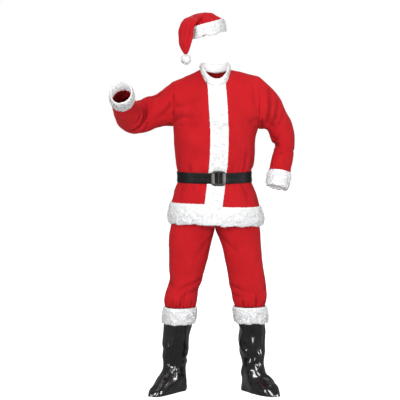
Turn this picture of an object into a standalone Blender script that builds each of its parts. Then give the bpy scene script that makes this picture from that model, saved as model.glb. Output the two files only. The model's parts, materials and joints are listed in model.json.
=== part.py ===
"""A santa suit, worn shape with nobody in it: hat, belted jacket, trousers and boot covers.

Metres, +Z up. The origin is the base of the neck, the front faces -Y, and right and left are the
wearer's own, so the right side is at -X. Every cloth piece is a grid of points, worked out from the
tables below, that is given a wall. Pieces that are sewn together share their edge points, so their
walls are mitred along one line, and each is then drawn back by half the seam gap.
"""

import math

import bmesh
import bpy
import numpy as np

# Driving sizes.
CLOTH = 0.0020  # wall of the red cloth
VINYL = 0.0016  # wall of the boot covers
SEAM_GAP = 0.0003  # between two pieces that are sewn together
LAY_GAP = 0.0010  # between a panel and what lies on it
PLUSH = 0.0110  # how far the plush trims reach out
PLUSH_EDGE = 0.0050  # how far they reach at their two edges
BAND_PLUSH = 0.0075  # reach of the plush band down the front
BAND_UNDER_BELT = 0.0035  # the same, where the belt presses on it
BAND_HALF = 0.0420
BAND_EDGE = 0.7  # share of its reach that the band has at its two edges
BAND_PRESS = 0.0120  # how far from the belt the band is still pressed
SQUARE = 0.86  # power that squares a section: 1 is an ellipse
ARMHOLE_SQUARE = 0.9
LEAST_MITRE = 0.3  # cosine at which a mitre at a sharp seam stops growing

BELT_LOW, BELT_HIGH = -0.526, -0.474
BELT_WALL = 0.0030
BELT_NEAR, BELT_SLOPE = 0.006, 0.035  # beside the band the strap stays out, then comes down to the cloth
UNDERARM = -0.262
HEM_LOW, HEM_HIGH = -0.718, -0.622
LEFT_DROP_FRONT, LEFT_DROP_SIDE = 0.012, 0.021  # the left half of the jacket hangs this much lower
HEM_EVENED = 0.5  # share of that drop that the hem takes back by its lower edge
NECK_FRONT = -0.072
COLLAR_HIGH = 0.034
COLLAR_LEAN = 0.06  # share of its size that the neckband loses at its top
COLLAR_THINNER = 0.0020
TRIM_ROWS = 4  # rows of points across a plush strip

RIGHT, LEFT = -1, 1
ARM_ROWS = 7  # rows from the underarm to the shoulder; a sleeve has twice as many columns
BAND_COLUMNS = 2  # columns of a front panel under the plush band
NECK_COLUMNS = 4  # columns up to the neck end of the shoulder seam
FRONT_COLUMNS = 8

# The jacket's body, inside the cloth.
#   z,    right,  left,  front,  back
JACKET = np.array(
    (
        (-0.722, 0.217, 0.225, 0.146, 0.150),
        (-0.690, 0.219, 0.226, 0.147, 0.151),
        (-0.640, 0.211, 0.211, 0.144, 0.147),
        (-0.600, 0.202, 0.200, 0.139, 0.141),
        (-0.560, 0.190, 0.189, 0.133, 0.135),
        (-0.526, 0.177, 0.172, 0.125, 0.124),
        (-0.500, 0.175, 0.169, 0.123, 0.122),
        (-0.474, 0.178, 0.170, 0.125, 0.123),
        (-0.445, 0.183, 0.181, 0.130, 0.125),
        (-0.415, 0.186, 0.187, 0.134, 0.126),
        (-0.370, 0.193, 0.186, 0.137, 0.125),
        (-0.317, 0.195, 0.190, 0.139, 0.122),
        (-0.262, 0.198, 0.201, 0.137, 0.118),
    )
)
PANEL_ROWS = (-0.570, -0.526, -0.474, -0.440, -0.400, -0.330)  # between hem and underarm

# The line where the fronts meet: z, x.
CENTRE_FRONT = np.array(
    (
        (-0.72, -0.015),
        (-0.62, -0.007),
        (-0.53, 0.004),
        (-0.46, 0.012),
        (-0.38, 0.018),
        (-0.28, 0.020),
        (-0.07, 0.010),
    )
)
# The middle of the upper front and back, as z, y; x comes from the line above, or is 0.
UPPER_FRONT = np.array(((-0.262, -0.137), (-0.200, -0.136), (-0.140, -0.126), (NECK_FRONT, -0.098)))
UPPER_BACK = np.array(((-0.262, 0.118), (-0.180, 0.124), (-0.090, 0.106), (-0.010, 0.060)))
# The neck edge from the middle to the shoulder seam, as x out from the middle, y, z.
NECK_EDGE_FRONT = np.array(
    ((0, -0.098, -0.072), (0.021, -0.093, -0.068), (0.042, -0.074, -0.054), (0.058, -0.040, -0.024))
)
NECK_EDGE_BACK = np.array(
    ((0, 0.060, -0.010), (0.020, 0.057, -0.008), (0.040, 0.047, -0.004), (0.058, 0.026, 0.004))
)
NECK_POINT = np.array((0.067, 0.004, 0.010))
# An armhole: x at the underarm, halfway and at the shoulder, z at the underarm and the shoulder.
ARMHOLE = {
    RIGHT: (-0.198, -0.197, -0.199, -0.258, -0.049),
    LEFT: (0.201, 0.209, 0.205, -0.266, -0.022),
}
ARMHOLE_FRONT, ARMHOLE_BACK = -0.080, 0.074

# A sleeve's rings after the armhole: centre x, y, z, tilt of its long axis in degrees from +X,
# half of that axis, half of the other. The last is the edge of the cuff.
SLEEVE = {
    RIGHT: np.array(
        (
            (-0.240, -0.003, -0.170, 91, 0.088, 0.081),
            (-0.285, -0.012, -0.190, 90, 0.078, 0.077),
            (-0.330, -0.025, -0.204, 84, 0.084, 0.076),
            (-0.370, -0.042, -0.213, 70, 0.082, 0.074),
            (-0.399, -0.070, -0.209, 52, 0.073, 0.071),
            (-0.414, -0.110, -0.190, 38, 0.063, 0.067),
            (-0.424, -0.160, -0.161, 29, 0.057, 0.061),
            (-0.431, -0.215, -0.128, 26, 0.051, 0.053),
            (-0.437, -0.268, -0.092, 26, 0.050, 0.052),
        )
    ),
    LEFT: np.array(
        (
            (0.241, 0.004, -0.174, 76, 0.099, 0.084),
            (0.274, 0.012, -0.203, 64, 0.078, 0.078),
            (0.300, 0.020, -0.246, 46, 0.062, 0.068),
            (0.319, 0.025, -0.291, 33, 0.060, 0.063),
            (0.330, 0.022, -0.331, 22, 0.053, 0.061),
            (0.332, 0.012, -0.362, 8, 0.048, 0.059),
            (0.322, -0.008, -0.405, 0, 0.050, 0.057),
            (0.307, -0.034, -0.478, -9, 0.048, 0.050),
            (0.295, -0.055, -0.545, -13, 0.047, 0.049),
        )
    ),
}

# The largest folds of each piece, pressed into its grid: from row, column to row, column, then the
# trough's half width in rows and its depth. A sleeve's columns run from its top round by the front.
SLEEVE_FOLDS = {
    RIGHT: (
        (4.6, 0.4, 4.2, 5.0, 0.85, 0.012),
        (3.2, 4.4, 3.6, 6.4, 0.70, 0.005),
        (1.6, 0.7, 2.7, 0.5, 0.80, 0.005),
        (4.3, 9.0, 4.8, 13.0, 0.90, 0.006),
    ),
    LEFT: (
        (0.9, 1.6, 1.4, 4.6, 0.80, 0.006),
        (3.9, 4.2, 4.9, 6.4, 0.80, 0.008),
        (5.4, 5.2, 4.6, 7.6, 0.70, 0.006),
        (3.8, 9.0, 4.6, 11.0, 0.90, 0.006),
    ),
}
FRONT_FOLDS = {
    RIGHT: ((8.0, 6.5, 10.0, 5.0, 0.9, 0.004),),
    LEFT: ((3.2, 5.3, 5.6, 5.0, 0.8, 0.005),),
}
BACK_FOLDS = ((2.4, 5.0, 6.0, 6.0, 1.0, 0.006), (2.6, 11.0, 5.4, 10.0, 1.0, 0.005))
# A trouser panel's columns run from the inner edge to the side seam.
LEG_FOLDS = {
    RIGHT: (
        (9.8, 1.0, 10.6, 4.0, 0.8, 0.007),
        (11.2, 3.2, 12.6, 3.6, 0.7, 0.006),
        (6.4, 1.4, 8.0, 2.6, 0.8, 0.004),
    ),
    LEFT: (
        (10.0, 1.2, 11.0, 3.6, 0.8, 0.006),
        (11.4, 4.2, 12.6, 4.6, 0.7, 0.006),
        (6.6, 1.2, 7.8, 3.0, 0.8, 0.004),
    ),
}
# A boot cover half's columns run from the toe line to the heel line.
BOOT_FOLDS = ((5.0, 0.8, 5.3, 4.0, 0.7, 0.005), (3.6, 2.0, 4.1, 5.0, 0.7, 0.004))

# The trousers above the crotch: z at the side, z in the middle, right and left reach, front, back,
# and how far round the inner edge has turned under, in degrees.
HIPS = np.array(
    (
        (-0.495, -0.495, 0.150, 0.148, 0.104, 0.104, 0),
        (-0.560, -0.560, 0.164, 0.163, 0.109, 0.114, 0),
        (-0.625, -0.625, 0.184, 0.184, 0.111, 0.123, 0),
        (-0.685, -0.680, 0.200, 0.201, 0.110, 0.125, 22),
        (-0.722, -0.718, 0.207, 0.208, 0.106, 0.121, 46),
        (-0.746, -0.739, 0.212, 0.211, 0.102, 0.114, 68),
    )
)
CROTCH_GAP = 0.0026  # from the middle plane to the inside of either leg
# A leg: z, outer, inner, front, back. The first row is the crotch, the last the plush.
LEG = {
    RIGHT: np.array(
        (
            (-0.768, 0.216, CROTCH_GAP, 0.099, 0.108),
            (-0.826, 0.220, 0.022, 0.094, 0.098),
            (-0.888, 0.219, 0.034, 0.088, 0.091),
            (-0.941, 0.218, 0.050, 0.084, 0.087),
            (-0.994, 0.217, 0.063, 0.081, 0.085),
            (-1.046, 0.231, 0.082, 0.080, 0.084),
            (-1.094, 0.242, 0.090, 0.079, 0.082),
            (-1.128, 0.234, 0.100, 0.069, 0.069),
        )
    ),
    LEFT: np.array(
        (
            (-0.768, 0.214, CROTCH_GAP, 0.099, 0.108),
            (-0.821, 0.218, 0.030, 0.094, 0.098),
            (-0.888, 0.224, 0.046, 0.088, 0.091),
            (-0.950, 0.231, 0.060, 0.084, 0.087),
            (-1.010, 0.241, 0.068, 0.082, 0.086),
            (-1.050, 0.246, 0.077, 0.081, 0.085),
            (-1.090, 0.246, 0.086, 0.079, 0.082),
            (-1.124, 0.235, 0.099, 0.069, 0.069),
        )
    ),
}
CROTCH_Z = -0.752
LEG_COLUMNS = 7
LEG_TRIM_HIGH = 0.074
LEG_TRIM_WIDER = 0.007  # the plush stands off the gathered trouser end, over the boot cover
LEG_TRIM_OUT = 0.008  # its lower edge sits this much further out, as the boot covers do

# A boot cover: z, x and y of its axis, then in the turned frame of the foot its back, front, half
# width, and the power that squares its front.
BOOT = {
    RIGHT: np.array(
        (
            (-1.160, -0.170, 0.000, 0.061, 0.061, 0.059, 1.0),
            (-1.215, -0.179, 0.002, 0.065, 0.063, 0.064, 1.0),
            (-1.262, -0.183, 0.008, 0.069, 0.064, 0.065, 1.0),
            (-1.315, -0.189, 0.014, 0.066, 0.061, 0.061, 1.0),
            (-1.368, -0.193, 0.020, 0.060, 0.058, 0.056, 1.0),
            (-1.412, -0.194, 0.025, 0.057, 0.061, 0.051, 0.95),
            (-1.446, -0.194, 0.028, 0.058, 0.088, 0.050, 0.85),
            (-1.474, -0.194, 0.029, 0.063, 0.134, 0.051, 0.75),
            (-1.498, -0.194, 0.030, 0.066, 0.172, 0.052, 0.66),
            (-1.520, -0.194, 0.030, 0.068, 0.196, 0.052, 0.60),
            (-1.542, -0.194, 0.030, 0.067, 0.206, 0.051, 0.58),
        )
    ),
    LEFT: np.array(
        (
            (-1.155, 0.169, 0.000, 0.061, 0.061, 0.059, 1.0),
            (-1.210, 0.175, 0.002, 0.064, 0.063, 0.064, 1.0),
            (-1.258, 0.177, 0.008, 0.067, 0.063, 0.062, 1.0),
            (-1.315, 0.180, 0.014, 0.064, 0.060, 0.058, 1.0),
            (-1.368, 0.182, 0.020, 0.059, 0.057, 0.054, 1.0),
            (-1.412, 0.184, 0.025, 0.057, 0.061, 0.052, 0.95),
            (-1.446, 0.185, 0.028, 0.058, 0.088, 0.051, 0.85),
            (-1.474, 0.186, 0.029, 0.063, 0.134, 0.051, 0.75),
            (-1.498, 0.186, 0.030, 0.066, 0.172, 0.052, 0.66),
            (-1.520, 0.186, 0.030, 0.068, 0.196, 0.052, 0.60),
            (-1.542, 0.186, 0.030, 0.067, 0.206, 0.051, 0.58),
        )
    ),
}
FOOT_TURN = {RIGHT: math.radians(-32), LEFT: math.radians(32)}
BOOT_COLUMNS = 7

# The hat's band: a leaning oval ring.
HAT_CENTRE = np.array((-0.046, 0.0, 0.199))
HAT_LEAN = math.radians(15)
HAT_HALF = (0.089, 0.104)
HAT_BAND_HIGH = 0.055
HAT_COLUMNS = 14  # round the whole hat
# The crown folds over to the front and the right side, and hangs down past the band. Each ring: centre
# x, y, z, half thickness, how far that has tipped over in degrees, half width, heading of the fold.
CROWN = np.array(
    (
        (-0.060, 0.003, 0.236, 0.075, 18, 0.096, 180),
        (-0.068, 0.004, 0.247, 0.060, 26, 0.086, 182),
        (-0.080, 0.000, 0.250, 0.038, 44, 0.073, 190),
        (-0.094, -0.018, 0.250, 0.021, 72, 0.061, 206),
        (-0.107, -0.048, 0.245, 0.013, 96, 0.050, 220),
        (-0.120, -0.081, 0.237, 0.011, 114, 0.044, 228),
        (-0.132, -0.099, 0.217, 0.012, 142, 0.041, 231),
        (-0.137, -0.104, 0.194, 0.014, 165, 0.041, 233),
        (-0.138, -0.104, 0.170, 0.015, 175, 0.041, 233),
        (-0.142, -0.106, 0.138, 0.014, 180, 0.035, 233),
        (-0.142, -0.107, 0.109, 0.011, 180, 0.023, 233),
        (-0.140, -0.107, 0.087, 0.006, 180, 0.008, 233),
    )
)
POMPOM_CENTRE, POMPOM_RADIUS = (-0.138, -0.107, 0.059), 0.0235

BUCKLE_CENTRE = (0.0155, -0.500)
BUCKLE_HALF = (0.0325, 0.0335)
BUCKLE_WINDOW = (0.0185, 0.0255)  # half sizes of the opening
BUCKLE_BAR = 0.0030  # half width of the bar down its middle
BUCKLE_CORNER, WINDOW_CORNER = 0.011, 0.004
BUCKLE_THICK = 0.0034

MATERIALS = {  # colour, roughness, metallic
    "red_cloth": ((0.58, 0.014, 0.020), 0.85, 0.0),
    "white_plush": ((0.90, 0.90, 0.91), 0.95, 0.0),
    "black_belt": ((0.012, 0.014, 0.014), 0.42, 0.0),
    "black_vinyl": ((0.008, 0.008, 0.009), 0.18, 0.0),
    "pewter": ((0.27, 0.25, 0.23), 0.38, 1.0),
}


def slot(name):
    """The named material, made once."""
    material = bpy.data.materials.get(name)
    if material is None:
        colour, roughness, metallic = MATERIALS[name]
        material = bpy.data.materials.new(name)
        material.use_nodes = True
        shader = material.node_tree.nodes["Principled BSDF"]
        shader.inputs["Base Color"].default_value = (*colour, 1.0)
        shader.inputs["Roughness"].default_value = roughness
        shader.inputs["Metallic"].default_value = metallic
    return material


def place(obj, collection, material):
    """Puts a finished object into the suit's collection with its material."""
    for old in obj.users_collection:
        old.objects.unlink(obj)
    collection.objects.link(obj)
    obj.data.materials.clear()
    obj.data.materials.append(slot(material))
    return obj


# ---------------------------------------------------------------- grids and walls


def between(table, where):
    """Every column of a table, read at `where` in its first column."""
    order = np.argsort(table[:, 0])
    return np.stack([np.interp(where, table[order, 0], column[order]) for column in table.T[1:]])


def unit(vectors):
    return vectors / np.maximum(np.linalg.norm(vectors, axis=-1, keepdims=True), 1e-12)


def point_normals(grid, ring):
    """Area-weighted normals of a grid's points, turned outwards."""
    closed = np.concatenate((grid, grid[:, :1]), axis=1) if ring else grid
    faces = np.cross(closed[1:, 1:] - closed[:-1, :-1], closed[1:, :-1] - closed[:-1, 1:])
    normals = np.zeros_like(closed)
    for row in (slice(None, -1), slice(1, None)):
        for column in (slice(None, -1), slice(1, None)):
            normals[row, column] += faces
    if ring:
        normals[:, 0] += normals[:, -1]
        normals = normals[:, :-1]
    outwards = np.sum(normals * (grid - grid.mean(axis=(0, 1))))
    return normals if outwards > 0 else -normals


def sewn_normals(grids, rings):
    """The way each point's wall goes out: one mitred step for every piece that shares the point."""
    own = np.concatenate([unit(point_normals(grid, ring)).reshape(-1, 3) for grid, ring in zip(grids, rings)])
    keys = np.round(np.concatenate([grid.reshape(-1, 3) for grid in grids]) * 1e5).astype(int)
    index = np.unique(keys, axis=0, return_inverse=True)[1].reshape(-1)
    total = np.zeros((index.max() + 1, 3))
    np.add.at(total, index, own)
    shared = unit(total)
    mitre = np.ones(len(shared))
    np.minimum.at(mitre, index, np.sum(shared[index] * own, axis=1))
    steps = (shared / np.clip(mitre, LEAST_MITRE, 1)[:, None])[index]
    parts = np.split(steps, np.cumsum([grid.shape[0] * grid.shape[1] for grid in grids])[:-1])
    return [part.reshape(grid.shape) for part, grid in zip(parts, grids)]


def creased(grid, folds, ring=False):
    """Presses folds in: each is a soft trough, depth * exp(-(distance / width) ** 2), inside the edges."""
    rows, columns = np.indices(grid.shape[:2])
    press = np.zeros(grid.shape[:2])
    for row, column, last_row, last_column, width, depth in folds:
        down, along = last_row - row, last_column - column
        share = ((rows - row) * down + (columns - column) * along) / (down * down + along * along)
        share = np.clip(share, 0, 1)
        distance = np.hypot(rows - row - share * down, columns - column - share * along)
        press += depth * np.exp(-((distance / width) ** 2))
    press[(0, -1), :] = 0
    if not ring:
        press[:, (0, -1)] = 0
    return grid - unit(point_normals(grid, ring)) * press[..., None]


def drawn_back(grid, edges):
    """The grid with the named edges moved in by half the seam gap."""
    out = grid.copy()
    ends = {"low": ((0,), (1,)), "high": ((-1,), (-2,)), "first": ((slice(None), 0), (slice(None), 1))}
    ends["last"] = ((slice(None), -1), (slice(None), -2))
    for edge in edges:
        here, inner = ends[edge]
        out[here] += unit(out[inner] - out[here]) * SEAM_GAP / 2
    return out


def wall(name, grid, normals, inner, outer, ring, material, collection):
    """A closed wall between two offsets of a grid. A ring's last column joins its first."""
    base = drawn_back(grid, ("low", "high") if ring else ("low", "high", "first", "last"))
    rows, columns = grid.shape[:2]
    inner = np.broadcast_to(inner, (rows, columns))[..., None]
    outer = np.broadcast_to(outer, (rows, columns))[..., None]
    points = np.concatenate((base + normals * inner, base + normals * outer)).reshape(-1, 3)
    index = np.arange(rows * columns).reshape(rows, columns)
    if ring:
        index = np.concatenate((index, index[:, :1]), axis=1)
    far = index + rows * columns
    quads = [np.stack((index[:-1, :-1], index[:-1, 1:], index[1:, 1:], index[1:, :-1]), -1)]
    quads.append(np.stack((far[:-1, :-1], far[1:, :-1], far[1:, 1:], far[:-1, 1:]), -1))
    rim = [(index[0], far[0]), (far[-1], index[-1])]
    if not ring:
        rim += [(far[:, 0], index[:, 0]), (index[:, -1], far[:, -1])]
    for near, off in rim:
        quads.append(np.stack((near[:-1], off[:-1], off[1:], near[1:]), -1))
    a, b, c, d = np.concatenate([quad.reshape(-1, 4) for quad in quads]).T
    split = np.linalg.norm(points[a] - points[c], axis=1) < np.linalg.norm(points[b] - points[d], axis=1)
    first = np.where(split, (a, b, c), (a, b, d)).T
    second = np.where(split, (a, c, d), (b, c, d)).T
    faces = np.concatenate((first, second))
    if np.linalg.det(points[faces]).sum() < 0:
        faces = faces[:, ::-1]
    mesh = bpy.data.meshes.new(name)
    mesh.from_pydata(points.tolist(), [], faces.tolist())
    mesh.shade_smooth()
    mesh.set_sharp_from_angle(angle=math.radians(50))
    return place(bpy.data.objects.new(name, mesh), collection, material)


def plush(grid):
    """How far a plush strip reaches, from one edge to the other: thin, full, thin."""
    across = np.sin(np.linspace(0, math.pi, len(grid))) ** 0.5
    return np.repeat((PLUSH_EDGE + (PLUSH - PLUSH_EDGE) * across)[:, None], grid.shape[1], axis=1)


# ---------------------------------------------------------------- jacket


def centre_x(z):
    return between(CENTRE_FRONT, z)[0]


def body_row(side, face, z, columns):
    """Points of the jacket's body at height z, from the middle to the side seam.

    x = half width * sin(a) ** SQUARE and y = depth * cos(a) ** SQUARE. The first columns of a front
    keep the plush band's width, and the others share what is left of the quarter turn.
    """
    right, left, front, back = between(JACKET, z)
    half = right if side == RIGHT else left
    middle, depth = (side * centre_x(z), front) if face == "front" else (0 * z, back)
    column = np.arange(columns + 1)[None, :]
    band = middle + column * BAND_HALF / BAND_COLUMNS
    start = np.arcsin(((middle + BAND_HALF) / half) ** (1 / SQUARE))
    turn = start + (math.pi / 2 - start) * np.clip(column - BAND_COLUMNS, 0, None) / (columns - BAND_COLUMNS)
    x = np.where(column <= BAND_COLUMNS, band, half * np.sin(np.minimum(turn, math.pi / 2)) ** SQUARE)
    y = depth * np.clip(1 - (np.abs(x) / half) ** (2 / SQUARE), 0, 1) ** (SQUARE / 2)
    x = np.broadcast_to(x, y.shape)
    return np.stack((side * x, -y if face == "front" else y, np.broadcast_to(z, x.shape)), -1)


def hem_drop(side, face, x):
    """How much lower the hem hangs at x, which is none on the right."""
    if face == "back":
        return LEFT_DROP_SIDE * np.clip((x + 0.2) / 0.4, 0, 1) ** 2
    if side == RIGHT:
        return 0 * x
    return LEFT_DROP_FRONT + (LEFT_DROP_SIDE - LEFT_DROP_FRONT) * np.clip(x / 0.2, 0, 1)


def body_grid(side, face, heights, columns):
    """Rows of the body. Below the belt each point slides down its column by the hem's drop, of
    which the hem takes a share back."""
    z = np.array(heights)[:, None]
    flat = body_row(side, face, z, columns)
    share = np.clip((BELT_LOW - z) / (BELT_LOW - HEM_HIGH), 0, 1)
    share = share - HEM_EVENED * np.clip((HEM_HIGH - z) / (HEM_HIGH - HEM_LOW), 0, 1)
    lowered = z - share * hem_drop(side, face, flat[..., 0])
    grid = flat.copy()
    for column in range(columns + 1):
        at = body_row(side, face, lowered[:, column : column + 1], columns)
        grid[:, column] = at[:, column]
    return grid


def armhole(side, face):
    """The armhole's points from underarm to shoulder: half an oval, with the ends at its poles."""
    low_x, mid_x, high_x, low_z, high_z = ARMHOLE[side]
    turn = np.linspace(0, math.pi, ARM_ROWS + 1)
    share = (1 - np.cos(turn)) / 2
    x = low_x + (high_x - low_x) * share + (mid_x - (low_x + high_x) / 2) * np.sin(turn)
    reach = ARMHOLE_FRONT if face == "front" else ARMHOLE_BACK
    return np.stack((x, reach * np.sin(turn) ** ARMHOLE_SQUARE, low_z + (high_z - low_z) * share), -1)


def top_edge(side, face):
    """The neck edge and then the shoulder seam, out to the shoulder."""
    neck = (NECK_EDGE_FRONT if face == "front" else NECK_EDGE_BACK) * (side, 1, 1)
    if face == "front":
        fade = np.linspace(1, 0, NECK_COLUMNS, endpoint=False)
        neck[:, 0] += centre_x(NECK_FRONT) * fade
    shoulder = armhole(side, face)[-1]
    seam = np.linspace(NECK_POINT * (side, 1, 1), shoulder, FRONT_COLUMNS - NECK_COLUMNS + 1)
    return np.concatenate((neck, seam))


def upper_grid(side, face, lowest):
    """The yoke: a patch that blends its four edges, as their sum less that of its corners."""
    rows = np.linspace(0, 1, ARM_ROWS + 1)[:, None, None]
    top = top_edge(side, face)
    middle = UPPER_FRONT if face == "front" else UPPER_BACK
    z = np.linspace(middle[0, 0], middle[-1, 0], ARM_ROWS + 1)
    x = centre_x(z) if face == "front" else 0 * z
    inner = np.stack((x, between(middle, z)[0], z), -1)
    inner[0], inner[-1] = lowest[0], top[0]
    outer = armhole(side, face)
    outer[0] = lowest[-1]
    across = np.linspace(0, 1, FRONT_COLUMNS + 1)[None, :, None]
    ruled = (1 - rows) * lowest + rows * top + (1 - across) * inner[:, None] + across * outer[:, None]
    corners = (1 - rows) * ((1 - across) * inner[0] + across * outer[0])
    corners = corners + rows * ((1 - across) * inner[-1] + across * outer[-1])
    return ruled - corners


def half_jacket(side, face):
    """From the hem trim up to the neck and shoulder, and from the middle to the side."""
    body = body_grid(side, face, (HEM_HIGH, *PANEL_ROWS, UNDERARM), FRONT_COLUMNS)
    body[-1, :, 2] += (ARMHOLE[side][3] - UNDERARM) * np.linspace(0, 1, FRONT_COLUMNS + 1)
    return np.concatenate((body[:-1], upper_grid(side, face, body[-1])))


def half_hem(side, face):
    return body_grid(side, face, np.linspace(HEM_LOW, HEM_HIGH, TRIM_ROWS), FRONT_COLUMNS)


def joined(right, left):
    """Two halves as one grid, from the right side seam to the left."""
    return np.concatenate((right[:, :0:-1], left), axis=1)


def sleeve_grid(side):
    """The armhole's oval, then the table's rings: centre + long * cos(a) + deep * sin(a)."""
    front, back = armhole(side, "front"), armhole(side, "back")
    first = np.concatenate((front[::-1], back[1:-1]))
    table = SLEEVE[side]
    centres = np.concatenate((first.mean(axis=0)[None], table[:, :3]))
    along = unit(np.gradient(centres, axis=0))[1:]
    tilt = np.radians(table[:, 3])
    long = np.stack((np.cos(tilt), 0 * tilt, np.sin(tilt)), -1)
    deep = unit(np.cross(along, long)) * side
    turn = np.linspace(0, 2 * math.pi, 2 * ARM_ROWS, endpoint=False)[None, :, None]
    table, long, deep = table[:, None], long[:, None], deep[:, None]
    rings = table[..., :3] + long * np.cos(turn) * table[..., 4:5] + deep * np.sin(turn) * table[..., 5:6]
    return np.concatenate((first[None], rings))


def cuff_grid(side):
    """The last stretch of the sleeve."""
    return np.linspace(*sleeve_grid(side)[-2:], TRIM_ROWS)


def build_jacket(collection):
    quarters = [(side, face) for side in (RIGHT, LEFT) for face in ("front", "back")]
    halves = {quarter: half_jacket(*quarter) for quarter in quarters}
    hems = {quarter: half_hem(*quarter) for quarter in quarters}
    cloth_names = ("front_right", "front_left", "back", "sleeve_right", "sleeve_left")
    cloth = [creased(halves[side, "front"], FRONT_FOLDS[side]) for side in (RIGHT, LEFT)]
    cloth += [creased(joined(halves[RIGHT, "back"], halves[LEFT, "back"]), BACK_FOLDS)]
    cloth += [creased(sleeve_grid(side)[:-1], SLEEVE_FOLDS[side], ring=True) for side in (RIGHT, LEFT)]
    trims = [hems[RIGHT, "front"][:, BAND_COLUMNS:], hems[LEFT, "front"][:, BAND_COLUMNS:]]
    trims += [joined(hems[RIGHT, "back"], hems[LEFT, "back"])]
    trims += [cuff_grid(side) for side in (RIGHT, LEFT)]
    trim_names = ("hem_trim_front_right", "hem_trim_front_left", "hem_trim_back")
    trim_names += ("cuff_trim_right", "cuff_trim_left")
    rings = [False, False, False, True, True]
    # The bottom stretch under the plush band belongs to no piece, but keeps the walls' directions.
    unseen = [hems[side, "front"][:, : BAND_COLUMNS + 1] for side in (RIGHT, LEFT)]
    normals = sewn_normals(cloth + trims + unseen, rings + rings + [False, False])
    for name, grid, normal, ring in zip(cloth_names, cloth, normals, rings):
        wall(f"jacket_{name}", grid, normal, 0, CLOTH, ring, "red_cloth", collection)
    for name, grid, normal, ring in zip(trim_names, trims, normals[len(cloth) :], rings):
        wall(name, grid, normal, 0, plush(grid), ring, "white_plush", collection)
    build_band(collection)
    build_collar(halves, collection)


def build_band(collection):
    """The plush band lies on both fronts, on the same columns, moved out past the cloth."""
    heights = (*np.linspace(HEM_LOW, HEM_HIGH, TRIM_ROWS - 1), *PANEL_ROWS, UNDERARM)
    sides = []
    for side in (RIGHT, LEFT):
        body = body_row(side, "front", np.array(heights)[:, None], FRONT_COLUMNS)
        upper = upper_grid(side, "front", body[-1])
        sides.append(np.concatenate((body[:-1], upper))[:, : BAND_COLUMNS + 1])
    grid = joined(*sides)
    normals = sewn_normals([grid], [False])[0]
    z = grid[..., 2]
    pressed = np.clip(np.minimum(z - BELT_LOW, BELT_HIGH - z) / BAND_PRESS + 1, 0, 1)
    reach = BAND_PLUSH + (BAND_UNDER_BELT - BAND_PLUSH) * pressed
    reach[:, (0, -1)] *= BAND_EDGE
    lift = CLOTH + LAY_GAP
    wall("front_band", grid, normals, lift, lift + reach, False, "white_plush", collection)


def build_collar(halves, collection):
    """A low plush neckband that stands on the neck edge and leans in a little."""
    edges = []
    for face in ("front", "back"):
        edges.append([halves[side, face][-1, : NECK_COLUMNS + 1] for side in (RIGHT, LEFT)])
    (front_right, front_left), (back_right, back_left) = edges
    loop = np.concatenate((front_right[:-1], back_right[:0:-1], back_left[:-1], front_left[:0:-1]))
    centre = loop.mean(axis=0)
    rows = []
    for share in np.linspace(0, 1, TRIM_ROWS):
        ring = centre + (loop - centre) * (1 - COLLAR_LEAN * share)
        ring[:, 2] = loop[:, 2] + SEAM_GAP + CLOTH + LAY_GAP + share * COLLAR_HIGH
        rows.append(ring)
    grid = np.array(rows)
    normals = sewn_normals([grid], [True])[0]
    wall("collar_trim", grid, normals, 0, plush(grid) - COLLAR_THINNER, True, "white_plush", collection)


# ---------------------------------------------------------------- belt


def belt_lift(grid):
    """How far the strap lies off the jacket: further out where it crosses the plush band."""
    off_band = np.abs(grid[..., 0] - centre_x((BELT_LOW + BELT_HIGH) / 2)) - BAND_HALF
    near = np.where(grid[..., 1] < 0, np.clip(1 - (off_band - BELT_NEAR) / BELT_SLOPE, 0, 1), 0)
    near = near * near * (3 - 2 * near)
    return CLOTH + LAY_GAP + (LAY_GAP + BAND_UNDER_BELT) * near


def build_belt(collection):
    heights = np.array((BELT_LOW, BELT_HIGH))[:, None]
    quarters = {}
    for side in (RIGHT, LEFT):
        for face in ("front", "back"):
            quarters[side, face] = body_row(side, face, heights, FRONT_COLUMNS + 2)
    front = joined(quarters[RIGHT, "front"], quarters[LEFT, "front"])
    back = joined(quarters[RIGHT, "back"], quarters[LEFT, "back"])
    grid = np.concatenate((front, back[:, -2:0:-1]), axis=1)
    normals = sewn_normals([grid], [True])[0]
    lift = belt_lift(grid)
    strap = wall("belt_strap", grid, normals, lift, lift + BELT_WALL, True, "black_belt", collection)
    furthest = min(vertex.co.y for vertex in strap.data.vertices)
    build_buckle(furthest - BUCKLE_THICK - SEAM_GAP, collection)


def loop_of(half_x, half_z, corner, shift=0.0):
    """A rectangle with cut corners, as the eight points of a flat outline."""
    x, z = half_x - corner, half_z - corner
    right = [(x, -half_z), (half_x, -z), (half_x, z), (x, half_z)]
    left = [(-px, pz) for px, pz in right[::-1]]
    return [(px + shift, pz) for px, pz in right + left]


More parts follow.
